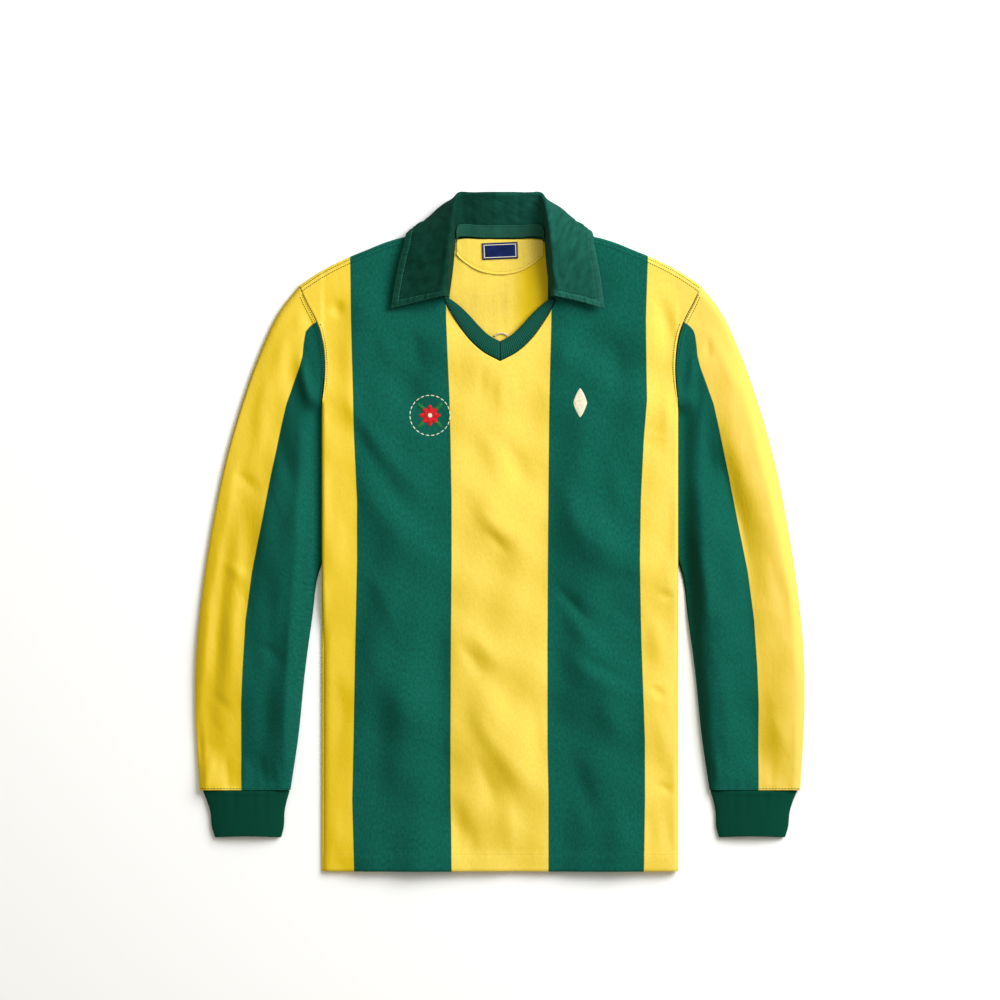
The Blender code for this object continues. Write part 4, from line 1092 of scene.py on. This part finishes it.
def spaced(path, up, pitch):
    """Stitch places along a path at an even pitch: their middles, directions and surface normals."""
    far = travelled(path)
    count = max(int(far[-1] / pitch), 1)
    at = (np.arange(count) + 0.5) / count * far[-1]
    along = unit(read_at(at + 0.2, far, path) - read_at(at - 0.2, far, path))
    above = unit(read_at(at, far, up))
    above = unit(above - np.sum(above * along, axis=1, keepdims=True) * along)
    return read_at(at, far, path), along, above


def stitch_lines(name, material, lines, thickness, pitch, width, slot="thread"):
    """One piece of all the stitches on some lines. A line is its path on the cloth's middle and its
    normals there, and the stitches lie on the cloth's face."""
    sets = []
    for path, up in lines:
        middle, along, above = spaced(path, up, pitch)
        sets.append(np.hstack([middle + above * (0.5 * thickness - STITCH_SINKS), along, above]))
    every = np.vstack(sets)
    points, belts, caps = grains(every[:, :3], every[:, 3:6], every[:, 6:],
                                 STITCH_FILL * pitch, width, STITCH_HEIGHT * width)
    return finish_piece(make_mesh(name, points, belts, caps), material)


def columns_of(*grids):
    """Each grid's columns as lines that start at its first row."""
    return [grid.transpose(1, 0, 2) for grid in grids]


def line_on(lines, normals, distance, keep=slice(None)):
    """The path at a distance from the start of each grid line, with the normals there."""
    found = at_distance(np.concatenate([lines, normals], axis=-1), distance)[keep]
    return found[:, :3], found[:, 3:]


# Embroidery on the chest

def folded_front_z(x, y):
    """The front's height with its folds."""
    return front_z(x, y) + front_relief(x, y)


def dome(name, material, centre, radius, height, turn=0.0, rings=9, steps=96):
    """A low raised shape on the front: radius is a function of the angle, and its height is that of a
    flattened dome. A second, flat face closes it beneath."""
    angle = np.linspace(0.0, 2.0 * np.pi, steps, endpoint=False)
    share = np.sin(0.5 * np.pi * np.linspace(1.0, 0.0, rings + 1))[:-1, None]
    reach = radius(angle)[None, :]
    x = centre[0] + share * reach * np.cos(angle + turn)
    y = centre[1] + share * reach * np.sin(angle + turn)
    surface = folded_front_z(x, y) + FLOOR
    raised = height * (1.0 - share ** 4) ** 0.5
    upper = np.dstack([x, y, surface + raised - DOME_SINKS])
    lower = np.dstack([x, y, surface - DOME_DEPTH])[1:]
    points = np.concatenate([upper.reshape(-1, 3), lower.reshape(-1, 3)])
    middle_z = float(folded_front_z(*centre)) + FLOOR
    poles = np.array([[*centre, middle_z + height - DOME_SINKS], [*centre, middle_z - DOME_DEPTH]])
    number = grid_numbers(rings, steps, closed=True)
    below = grid_numbers(rings - 1, steps, closed=True) + rings * steps
    below = np.vstack([number[:1], below])
    top_pole, low_pole = len(points), len(points) + 1
    quads = np.concatenate([quads_of(number), quads_of(below)[:, ::-1]])
    tips = np.concatenate([np.stack([number[-1, :-1], number[-1, 1:], np.full(steps, top_pole)], -1),
                           np.stack([below[-1, 1:], below[-1, :-1], np.full(steps, low_pole)], -1)])
    return finish_piece(make_mesh(name, np.vstack([points, poles]), quads, tips), material)


# Materials

def add(tree, kind, values=None, **settings):
    """One node. values gives its inputs by name or number: a socket is linked, anything else is set."""
    made = tree.nodes.new("ShaderNode" + kind)
    for key, value in settings.items():
        setattr(made, key, value)
    for key, value in (values or {}).items():
        if isinstance(value, bpy.types.NodeSocket):
            tree.links.new(value, made.inputs[key])
        else:
            made.inputs[key].default_value = value
    return made


def sum_of(tree, operation, *values):
    """One Math node's result, such as a sum or a product."""
    return add(tree, "Math", dict(enumerate(values)), operation=operation).outputs[0]


def scaled(tree, vector, x, y):
    """A vector with its x and y multiplied."""
    return add(tree, "VectorMath", {0: vector, 1: (x, y, 1.0)}, operation="MULTIPLY").outputs[0]


def noise(tree, vector, detail=2.0, roughness=0.5):
    """Smooth noise of about 0.3 to 0.7, with a cell for each unit of the vector."""
    values = {"Vector": vector, "Scale": 1.0, "Detail": detail, "Roughness": roughness}
    return add(tree, "TexNoise", values).outputs[0]


def blend(tree, share, first, second, kind="MIX"):
    """A colour from the first to the second, by a share of 0 to 1."""
    return add(tree, "Mix", {0: share, 6: first, 7: second}, data_type="RGBA", blend_type=kind).outputs[2]


def rescale(tree, value, low, high, to_low=0.0, to_high=1.0):
    """A straight line from to_low at low to to_high at high, held at both ends."""
    return add(tree, "MapRange", {0: value, 1: low, 2: high, 3: to_low, 4: to_high}).outputs[0]


def group(name, outputs, build):
    """A node group with the input Grain. build gets its tree and that socket and gives its outputs."""
    tree = bpy.data.node_groups.new(name, "ShaderNodeTree")
    tree.interface.new_socket("Grain", in_out="INPUT", socket_type="NodeSocketVector")
    for output in outputs:
        tree.interface.new_socket(output, in_out="OUTPUT", socket_type="NodeSocketFloat")
    start, end = tree.nodes.new("NodeGroupInput"), tree.nodes.new("NodeGroupOutput")
    for number, socket in enumerate(build(tree, start.outputs[0])):
        tree.links.new(socket, end.inputs[number])
    return tree


def jersey_face(tree, grain):
    """Knitted cotton: fine upright loops, slubs drawn out along the grain, and pressed-in puckers. Height is
    their sum, Slub the light and dark of the yarn, Speckle the fine flecks."""
    loops = noise(tree, scaled(tree, grain, 1150.0, 420.0), 1.0)
    slub = noise(tree, scaled(tree, grain, 420.0, 210.0), 3.0, 0.7)
    puckers = noise(tree, scaled(tree, grain, 130.0, 80.0), 2.0, 0.55)
    height = sum_of(tree, "MULTIPLY_ADD", loops, 0.12, sum_of(tree, "MULTIPLY_ADD", slub, 0.10,
                    sum_of(tree, "MULTIPLY", puckers, 0.28)))
    speckle = noise(tree, scaled(tree, grain, 850.0, 620.0), 2.0, 0.7)
    return height, slub, speckle


def twill_face(tree, grain):
    """Brushed twill: fine diagonal ribs, broken by noise. Height is their sum, Slub a soft unevenness."""
    turned = add(tree, "VectorRotate", {"Vector": grain, "Angle": 0.85}, rotation_type="Z_AXIS").outputs[0]
    ribs = noise(tree, scaled(tree, turned, 1200.0, 700.0), 1.0)
    cloudy = noise(tree, scaled(tree, grain, 90.0, 90.0), 4.0, 0.6)
    height = sum_of(tree, "MULTIPLY_ADD", ribs, 0.14, sum_of(tree, "MULTIPLY", cloudy, 0.06))
    return height, cloudy, noise(tree, scaled(tree, grain, 700.0, 700.0), 2.0, 0.7)


def rib_face(tree, grain):
    """Ribbed knit: even ridges a fixed pitch apart across the grain, made uneven by noise."""
    values = {"Vector": grain, "Scale": 200.0, "Distortion": 0.8, "Detail": 1.0}
    ridge = add(tree, "TexWave", values, wave_type="BANDS", bands_direction="X").outputs["Fac"]
    fuzz = noise(tree, scaled(tree, grain, 700.0, 500.0), 2.0)
    height = sum_of(tree, "MULTIPLY_ADD", ridge, 0.22, sum_of(tree, "MULTIPLY", fuzz, 0.5))
    return height, ridge, fuzz


def new_material(name):
    """A dull material with a trace of sheen: itself, its tree and its shader."""
    material = bpy.data.materials.new(name)
    material.use_nodes = True
    tree = material.node_tree
    shader = tree.nodes["Principled BSDF"]
    shader.inputs["Specular IOR Level"].default_value = 0.08
    shader.inputs["Sheen Weight"].default_value = 0.015
    shader.inputs["Sheen Roughness"].default_value = 0.5
    return material, tree, shader


def attribute(tree, name):
    """The node that reads one of the mesh's attributes."""
    return add(tree, "Attribute", attribute_name=name, attribute_type="GEOMETRY")


def place_of(tree):
    """x, y and z in the shared frame, in metres."""
    return add(tree, "SeparateXYZ", {0: add(tree, "TexCoord").outputs["Object"]}).outputs


def face_of(tree, face):
    """The outputs of a cloth's node group, fed with the grain attribute."""
    made = tree.nodes.new("ShaderNodeGroup")
    made.node_tree = face
    tree.links.new(attribute(tree, "grain").outputs["Vector"], made.inputs[0])
    return made.outputs


def finish_cloth(tree, shader, colour, height, depth, roughness=0.86):
    """Gives the shader its colour, roughness and a bump as deep as depth, in metres."""
    tree.links.new(colour, shader.inputs["Base Color"])
    shader.inputs["Roughness"].default_value = roughness
    bump = add(tree, "Bump", {"Height": height, "Distance": depth, "Strength": 1.0})
    tree.links.new(bump.outputs[0], shader.inputs["Normal"])


YELLOW_LIGHT = (0.825, 0.650, 0.145, 1.0)
YELLOW_DARK = (0.775, 0.590, 0.100, 1.0)
GREEN_LIGHT = (0.008, 0.148, 0.111, 1.0)
GREEN_DARK = (0.004, 0.094, 0.070, 1.0)
GREEN_FLECK = (0.026, 0.225, 0.175, 1.0)
# Painted shade: where the cloth slopes away from the key light, towards the wearer's right and the hem, and
# where the collar's shadow falls
YELLOW_PAINTED_SHADE = (0.770, 0.565, 0.020, 1.0)
GREEN_PAINTED_SHADE = (0.002, 0.060, 0.040, 1.0)
# Painted shade on the wearer's left sleeve, where the key light falls strongly
YELLOW_PAINTED_SHADE_LEFT_SLEEVE = (0.735, 0.555, 0.130, 1.0)
COLLAR_LIGHT = (0.010, 0.088, 0.063, 1.0)
COLLAR_DARK = (0.005, 0.060, 0.042, 1.0)
COLLAR_WORN = (0.035, 0.170, 0.128, 1.0)
# Painted shade and light: what the collar's colour is multiplied by on the wearer's right, which faces away
# from the key light, and on the left, which faces it
RIGHT_PAINTED_SHADE = (0.60, 0.74, 0.70, 1.0)
LEFT_PAINTED_LIGHT = (1.40, 1.25, 1.30, 1.0)
# Painted shade between the neck rib's ribs and painted light on their crests
RIB_SHADED = (0.002, 0.045, 0.030, 1.0)
RIB_LIT = (0.014, 0.115, 0.085, 1.0)
# The cuff rib: painted shade between its ribs, and painted light on their crests that also colours its flecks
CUFF_LIT_AND_FLECKS = (0.003, 0.080, 0.051, 1.0)
CUFF_SHADED = (0.002, 0.062, 0.038, 1.0)
TAPE_LIGHT = (0.036, 0.165, 0.122, 1.0)
TAPE_DARK = (0.010, 0.070, 0.050, 1.0)
NAVY_LIGHT = (0.012, 0.030, 0.130, 1.0)
NAVY_DARK = (0.007, 0.018, 0.080, 1.0)
CREAM = (0.85, 0.80, 0.66, 1.0)
# Width of a thread's strand in metres
STRAND_WIDTH = 0.0006


def make_jersey(face):
    """Both stripe colours, parted at the yellow attribute's zero with the small steps of the knit. Both get
    painted shade on slopes that face away from the key light; the yellow also gets painted shade slowly
    towards the wearer's right and the hem, and on the wearer's left sleeve, and the green on the upper part
    of the wearer's right sleeve."""
    material, tree, shader = new_material("striped cotton jersey")
    height, slub, speckle = face_of(tree, face)[:3]
    into = attribute(tree, "yellow").outputs["Fac"]
    uneven = sum_of(tree, "MULTIPLY_ADD", speckle, 0.7, sum_of(tree, "ADD", into, -0.35))
    is_yellow = rescale(tree, uneven, -0.22, 0.22)
    # Painted shade on slopes that face away from the key light, and a painted shade gradient towards the
    # wearer's right and the hem
    painted_shade = attribute(tree, "painted_shade").outputs["Fac"]
    place = place_of(tree)
    painted_shade_gradient = sum_of(tree, "ADD", rescale(tree, place[0], -0.04, -0.16, 0.0, 0.5),
                     rescale(tree, place[1], 0.20, -0.35, 0.0, 0.25))
    yellow = blend(tree, rescale(tree, slub, 0.30, 0.66), YELLOW_DARK, YELLOW_LIGHT)
    # Painted shade on the wearer's left sleeve
    yellow = blend(tree, rescale(tree, place[0], 0.18, 0.24, 0.0, 0.9), yellow, YELLOW_PAINTED_SHADE_LEFT_SLEEVE)
    yellow = blend(tree, rescale(tree, sum_of(tree, "MULTIPLY_ADD", painted_shade, 2.0, painted_shade_gradient), 0.0, 1.0),
                   yellow, YELLOW_PAINTED_SHADE)
    green = blend(tree, rescale(tree, slub, 0.32, 0.70), GREEN_DARK, GREEN_LIGHT)
    green = blend(tree, rescale(tree, speckle, 0.52, 0.78, 0.0, 0.4), green, GREEN_FLECK)
    # Painted shade on the green of the upper part of the wearer's right sleeve, added to the slopes' painted
    # shade
    turned = sum_of(tree, "MULTIPLY", rescale(tree, place[0], -0.205, -0.225),
                    rescale(tree, place[1], -0.08, 0.08, 0.0, 0.55))
    turned = sum_of(tree, "MULTIPLY_ADD", painted_shade, 1.2, turned)
    green = blend(tree, rescale(tree, turned, 0.0, 1.0), green, GREEN_PAINTED_SHADE)
    colour = blend(tree, is_yellow, green, yellow)
    border = rescale(tree, sum_of(tree, "ABSOLUTE", uneven, 0.0), 0.9, 0.0, 0.0, 0.4)
    finish_cloth(tree, shader, blend(tree, border, colour, GREEN_DARK), height, 0.0011)
    return material


def make_plain(name, face, dark, light, depth, low, high):
    """One colour, from dark to light as the face's second output goes from low to high, with flecks. With the
    rib face that output is the ridge, so this paints shade between the ribs and light on their crests.
    """
    material, tree, shader = new_material(name)
    height, slub, speckle = face_of(tree, face)[:3]
    colour = blend(tree, rescale(tree, slub, low, high), dark, light)
    colour = blend(tree, rescale(tree, speckle, 0.58, 0.80, 0.0, 0.3), colour, light)
    finish_cloth(tree, shader, colour, height, depth)
    return material


def make_neck_rib_knit(face):
    """Fine ribs across the band: painted light on the rib attribute's crests, painted shade between them."""
    material, tree, shader = new_material("neck rib")
    crest = rescale(tree, attribute(tree, "rib").outputs["Fac"], -0.8, 0.9)
    colour = blend(tree, crest, RIB_SHADED, RIB_LIT)
    finish_cloth(tree, shader, colour, face_of(tree, face)[0], 0.0002)
    return material


def make_collar_cloth(face):
    """Twill, paler and flecked on the edges outside the stitching, where it rubs, with painted shade on the
    wearer's right half and painted light on the left half.
    """
    material, tree, shader = new_material("brushed collar twill")
    height, slub, speckle = face_of(tree, face)[:3]
    colour = blend(tree, rescale(tree, slub, 0.36, 0.64), COLLAR_DARK, COLLAR_LIGHT)
    colour = blend(tree, rescale(tree, speckle, 0.55, 0.80, 0.0, 0.35), colour, COLLAR_LIGHT)
    rim = attribute(tree, "rim").outputs["Fac"]
    worn = sum_of(tree, "MULTIPLY", rescale(tree, rim, 2.5, 0.0), rescale(tree, speckle, 0.40, 0.62))
    worn = sum_of(tree, "MULTIPLY_ADD", worn, 0.6, rescale(tree, rim, 8.5, 6.5, 0.0, 0.16))
    colour = blend(tree, worn, colour, COLLAR_WORN)
    # Painted shade on the wearer's right and painted light on the left, blended across the middle
    painted_light_and_shade = blend(tree, rescale(tree, place_of(tree)[0], -0.03, 0.03), RIGHT_PAINTED_SHADE, LEFT_PAINTED_LIGHT)
    finish_cloth(tree, shader, blend(tree, 1.0, colour, painted_light_and_shade, "MULTIPLY"), height, 0.0008)
    return material


def make_tape_weave(face):
    """Herringbone: the grain is mirrored every few millimetres, so the diagonals meet in columns."""
    material, tree, shader = new_material("herringbone neck tape")
    height, slub = face_of(tree, face)[:2]
    apart = add(tree, "SeparateXYZ", {0: attribute(tree, "grain").outputs["Vector"]})
    folded = sum_of(tree, "PINGPONG", apart.outputs[1], 0.0026)
    diagonal = sum_of(tree, "ADD", apart.outputs[0], folded)
    lines = sum_of(tree, "SINE", sum_of(tree, "MULTIPLY", diagonal, 2.0 * np.pi / 0.0016))
    colour = blend(tree, rescale(tree, lines, -1.0, 1.0), TAPE_DARK, TAPE_LIGHT)
    colour = blend(tree, rescale(tree, slub, 0.4, 0.7, 0.0, 0.35), colour, TAPE_LIGHT)
    finish_cloth(tree, shader, colour, sum_of(tree, "MULTIPLY_ADD", lines, 0.3, height), 0.0004, 0.8)
    return material


def make_label_weave(face):
    """Woven navy satin with a thin cream border inside its edge and cut ends."""
    material, tree, shader = new_material("woven navy label")
    height, slub = face_of(tree, face)[:2]
    apart = add(tree, "SeparateXYZ", {0: attribute(tree, "grain").outputs["Vector"]})
    across = sum_of(tree, "SUBTRACT", 0.0180, sum_of(tree, "ABSOLUTE", apart.outputs[0], 0.0))
    down = sum_of(tree, "SUBTRACT", 0.0072, sum_of(tree, "ABSOLUTE", apart.outputs[1], 0.0))
    inside = sum_of(tree, "MINIMUM", across, down)
    border = sum_of(tree, "COMPARE", inside, 0.0, 0.00045)
    threads = sum_of(tree, "SINE", sum_of(tree, "MULTIPLY", apart.outputs[1], 2.0 * np.pi / 0.0007))
    navy = blend(tree, rescale(tree, slub, 0.35, 0.65), NAVY_DARK, NAVY_LIGHT)
    colour = blend(tree, sum_of(tree, "MULTIPLY", border, 0.85), navy, CREAM)
    height = sum_of(tree, "MULTIPLY_ADD", threads, 0.15, sum_of(tree, "MULTIPLY_ADD", border, 0.4, height))
    finish_cloth(tree, shader, colour, height, 0.0003, 0.55)
    return material


def make_thread(name, dark, light):
    """Twisted thread: slanting strands on Object coordinates, with a slight gloss."""
    material, tree, shader = new_material(name)
    place = add(tree, "TexCoord").outputs["Object"]
    turned = add(tree, "VectorRotate", {"Vector": place, "Angle": 0.5}, rotation_type="Z_AXIS").outputs[0]
    strands = noise(tree, scaled(tree, turned, 1.0 / STRAND_WIDTH, 220.0), 1.0)
    colour = blend(tree, rescale(tree, strands, 0.35, 0.65), dark, light)
    finish_cloth(tree, shader, colour, strands, 0.0002, 0.55)
    return material


knit_face = group("jersey face", ("Height", "Slub", "Speckle"), jersey_face)
diagonal_face = group("twill face", ("Height", "Slub", "Speckle"), twill_face)
ribbed_face = group("rib face", ("Height", "Ridge", "Fuzz"), rib_face)
jersey_cloth = make_jersey(knit_face)
collar_cloth = make_collar_cloth(diagonal_face)
# The cuffs' colour follows the ribs: painted shade in the troughs, painted light on the crests
cuff_rib_knit = make_plain("cuff rib", ribbed_face, CUFF_SHADED, CUFF_LIT_AND_FLECKS, 0.0005, 0.1, 0.9)
neck_rib_knit = make_neck_rib_knit(knit_face)
tape_weave = make_tape_weave(diagonal_face)
label_weave = make_label_weave(diagonal_face)
dark_thread = make_thread("dark green thread", (0.004, 0.035, 0.024, 1.0), (0.012, 0.075, 0.052, 1.0))
collar_thread = make_thread("collar thread", (0.030, 0.160, 0.120, 1.0), (0.060, 0.260, 0.200, 1.0))
green_thread = make_thread("green thread", (0.004, 0.085, 0.062, 1.0), (0.020, 0.190, 0.145, 1.0))
yellow_thread = make_thread("yellow thread", (0.52, 0.36, 0.03, 1.0), (0.78, 0.58, 0.08, 1.0))
brown_thread = make_thread("brown thread", (0.30, 0.17, 0.02, 1.0), (0.46, 0.29, 0.04, 1.0))
cream_thread = make_thread("cream thread", (0.62, 0.58, 0.46, 1.0), CREAM)
red_thread = make_thread("red thread", (0.36, 0.010, 0.016, 1.0), (0.72, 0.035, 0.045, 1.0))
leaf_thread = make_thread("leaf green thread", (0.010, 0.110, 0.035, 1.0), (0.040, 0.260, 0.090, 1.0))

# The shirt

front, front_halves = make_front()
back = make_back()
left_sleeve, left_upper = make_sleeve("left", 1.0, LEFT_SLEEVE_FOLDS, 1.5, 71, 4.5,
                                     lambda u: 1.5 * ramp(u, 0.5, 0.95) - 1.7 * ramp(u, 0.06, 0.5) + 0.8)
right_sleeve, right_upper = make_sleeve("right", -1.0, RIGHT_SLEEVE_FOLDS, 2.2, 81, 6.5,
                                       lambda u: 2.0 * u ** 1.4 - 1.0)
left_cuff = make_cuff("left", 1.0, 91)
right_cuff = make_cuff("right", -1.0, 94)
collar, collar_grid, collar_normal, leaf_columns = make_collar()
tape, tape_grid, tape_normal = make_neck_tape()
half_moon, moon_grid = make_half_moon()
label, label_grid = make_label()
left_rib = make_neck_rib("left", 1.0)
right_rib = make_neck_rib("right", -1.0)


def split_by_yellow(lines, into):
    """Parts of stitch lines on the green, and on the yellow, each where three or more points follow."""
    green, yellow = [], []
    for path, up in lines:
        on_yellow = into(path[:, 0], path[:, 1]) > 0.0
        cuts = np.flatnonzero(np.diff(on_yellow)) + 1
        for run in np.split(np.arange(len(path)), cuts):
            if len(run) > 2:
                (yellow if on_yellow[run[0]] else green).append((path[run], up[run]))
    return green, yellow


def panel_lines():
    """The front's stitch lines: the hem, the twin rows under each shoulder seam, and one row beside the
    lower half of each armhole."""
    hem, shoulders, armholes = [], [], []
    for grid in front_halves:
        up = facing(grid, UPWARDS)
        hem.append(line_on(*columns_of(grid, up), HEM_STITCH, slice(0, HEM_STITCH_COLUMNS)))
        for distance in SHOULDER_STITCHES:
            path, normal = line_on(*columns_of(grid[::-1], up[::-1]), distance)
            keep = np.abs(path[:, 0]) > SHOULDER_STITCHES_FROM_X
            shoulders.append((path[keep], normal[keep]))
        path, normal = line_on(grid[:, ::-1], up[:, ::-1], ARMHOLE_STITCH)
        keep = (path[:, 1] > ARMHOLE_STITCH_Y[0]) & (path[:, 1] < ARMHOLE_STITCH_Y[1])
        armholes.append((path[keep], normal[keep]))
    return hem, shoulders, armholes


def sleeve_lines(upper):
    """A sleeve's stitch lines: twin rows along the armhole, and one above the cuff seam."""
    normal = facing(upper, UPWARDS)
    armhole = []
    for distance in SLEEVE_STITCHES:
        path, up = line_on(*columns_of(upper, normal), distance)
        keep = (path[:, 1] > SLEEVE_STITCHES_FROM_Y) & (np.arange(len(path)) > 1)
        armhole.append((path[keep], up[keep]))
    cuff = line_on(*columns_of(upper[::-1], normal[::-1]), CUFF_STITCH, slice(4, -4))
    return armhole, [cuff]


hem_lines, shoulder_lines, armhole_lines = panel_lines()
hem_green, hem_yellow = split_by_yellow(hem_lines, into_body_yellow)
stitch_lines("hem_stitches_green", green_thread, hem_green, JERSEY, *HEM_THREAD)
stitch_lines("hem_stitches_yellow", yellow_thread, hem_yellow, JERSEY, *HEM_THREAD)
stitch_lines("shoulder_stitches", dark_thread, shoulder_lines, JERSEY, *SEAM_THREAD)
stitch_lines("armhole_body_stitches", dark_thread, armhole_lines, JERSEY, *SEAM_THREAD)
for side, upper in (("left", left_upper), ("right", right_upper)):
    armhole_rows, cuff_row = sleeve_lines(upper)
    stitch_lines("armhole_stitches_" + side, dark_thread, armhole_rows, JERSEY, *SEAM_THREAD)
    stitch_lines("cuff_stitches_" + side, dark_thread, cuff_row, JERSEY, *CUFF_THREAD)

edge_path = line_on(collar_grid[:, ::-1], collar_normal[:, ::-1], COLLAR_STITCH, slice(8, -8))
on_leaf = np.flatnonzero(leaf_columns)[2:-8]
end_paths = [line_on(*columns_of(collar_grid[::step], collar_normal[::step]), COLLAR_STITCH, on_leaf)
             for step in (1, -1)]
stitch_lines("collar_stitches", collar_thread, [edge_path, *end_paths], COLLAR_CLOTH, *COLLAR_THREAD)
tape_path = line_on(tape_grid[:, ::-1], tape_normal[:, ::-1], TAPE_STITCH, slice(2, -2))
stitch_lines("tape_stitches", dark_thread, [tape_path], TRIM_CLOTH, *TRIM_THREAD)
moon_up = facing(moon_grid, UPWARDS)
moon_path = line_on(*columns_of(moon_grid[::-1], moon_up[::-1]), HALF_MOON_STITCH, slice(4, -4))
stitch_lines("half_moon_stitches", brown_thread, [moon_path], TRIM_CLOTH, *TRIM_THREAD)
label_up = facing(label_grid, UPWARDS)
label_ends = [line_on(label_grid[:, ::step], label_up[:, ::step], LABEL_STITCH, slice(1, -1))
              for step in (1, -1)]
stitch_lines("label_stitches", cream_thread, label_ends, TRIM_CLOTH, *LABEL_THREAD)


def star_radius(angle):
    """Eight rounded points: the radius swells eight times round."""
    return STAR_RADIUS * (0.66 + 0.34 * np.abs(np.cos(4.0 * angle)) ** 1.5)


def heart_radius(angle):
    """A disc."""
    return np.full_like(angle, HEART_RADIUS)


def leaf_radius(angle):
    """An ellipse, long on its own axis."""
    return 1.0 / np.sqrt((np.cos(angle) / LEAF_HALF[0]) ** 2 + (np.sin(angle) / LEAF_HALF[1]) ** 2)


def lozenge_radius(angle):
    """A lozenge with bent sides: its shares of both half sizes, to the same power, add up to 1."""
    across = np.abs(np.cos(angle)) / LOZENGE_HALF[0]
    along = np.abs(np.sin(angle)) / LOZENGE_HALF[1]
    return 1.0 / (across ** LOZENGE_POWER + along ** LOZENGE_POWER) ** (1.0 / LOZENGE_POWER)


def cream_line(name, x, y, z, pitch, width):
    """A row of broad cream stitches that face up, on a line at the given heights."""
    path = np.column_stack([x, y, z])
    normals = np.tile(UPWARDS, (len(path), 1))
    stitch_lines(name, cream_thread, [(path, normals)], JERSEY, pitch, width, slot="embroidery")


dome("badge_star", red_thread, BADGE, star_radius, 0.9)
dome("badge_star_heart", cream_thread, BADGE, heart_radius, 1.5, rings=5, steps=24)
for number in range(4):
    heading = np.pi * (0.25 + 0.5 * number)
    place = (BADGE[0] + LEAVES_RADIUS * np.cos(heading), BADGE[1] + LEAVES_RADIUS * np.sin(heading))
    dome("badge_leaf_%d" % (number + 1), leaf_thread, place, leaf_radius, 0.7, heading, rings=6, steps=40)
dome("chest_lozenge", cream_thread, LOZENGE, lozenge_radius, 0.8)
turn = np.linspace(0.0, 2.0 * np.pi, 240)
ring_x, ring_y = BADGE[0] + RING_RADIUS * np.cos(turn), BADGE[1] + RING_RADIUS * np.sin(turn)
cream_line("badge_ring", ring_x, ring_y, folded_front_z(ring_x, ring_y), 6.0, 1.5)
sweep = np.linspace(0.62, 2.52, 40)
arc_x, arc_y = ARC_CENTRE[0] + ARC_HALF[0] * np.cos(sweep), ARC_CENTRE[1] + ARC_HALF[1] * np.sin(sweep)
arc_z = back_z(arc_x, arc_y) + back_relief(arc_x, arc_y) + ARC_LIFT
cream_line("back_arc", arc_x, arc_y, arc_z, 0.9, 2.9)

# The studio

FLOOR_HALF = 6.0
FLOOR_Z = -0.0003
CAMERA_HEIGHT = 6.0
CAMERA_Y = 0.0359
PICTURE_WIDTH = 1.15
SENSOR = 36.0

corners = [(FLOOR_HALF * x, FLOOR_HALF * y, FLOOR_Z) for x, y in ((-1, -1), (1, -1), (1, 1), (-1, 1))]
floor_mesh = bpy.data.meshes.new("studio_floor")
floor_mesh.from_pydata(corners, [], [(0, 1, 2, 3)])
studio_floor = bpy.data.objects.new("studio_floor", floor_mesh)
bpy.context.scene.collection.objects.link(studio_floor)
floor_paint = bpy.data.materials.new("studio floor paint")
floor_paint.use_nodes = True
floor_inputs = floor_paint.node_tree.nodes["Principled BSDF"].inputs
floor_inputs["Base Color"].default_value = (0.95, 0.965, 1.0, 1.0)
floor_inputs["Roughness"].default_value = 0.95
floor_inputs["Specular IOR Level"].default_value = 0.1
floor_mesh.materials.append(floor_paint)

camera_data = bpy.data.cameras.new("camera")
camera_data.sensor_width = SENSOR
camera_data.lens = SENSOR * CAMERA_HEIGHT / PICTURE_WIDTH
camera_data.clip_end = 50.0
camera = bpy.data.objects.new("camera", camera_data)
camera.location = (0.0, CAMERA_Y, CAMERA_HEIGHT)
bpy.context.scene.collection.objects.link(camera)
bpy.context.scene.camera = camera


def softbox(name, place, size, power):
    """A square area light that looks at the shirt's middle."""
    data = bpy.data.lights.new(name, "AREA")
    data.shape = "SQUARE"
    data.size = size
    data.energy = power
    light = bpy.data.objects.new(name, data)
    light.location = place
    light.rotation_euler = Vector(place).to_track_quat("Z", "Y").to_euler()
    bpy.context.scene.collection.objects.link(light)


softbox("key light", (2.1, 1.8, 2.25), 2.4, 176.0)
softbox("fill light", (-0.6, 0.2, 3.6), 2.0, 16.0)
world = bpy.data.worlds.new("studio air")
world.use_nodes = True
air_inputs = world.node_tree.nodes["Background"].inputs
air_inputs["Color"].default_value = (1.0, 0.94, 0.76, 1.0)
air_inputs["Strength"].default_value = 0.36
bpy.context.scene.world = world
bpy.context.scene.view_settings.view_transform = "Standard"
bpy.context.scene.view_settings.gamma = 0.87
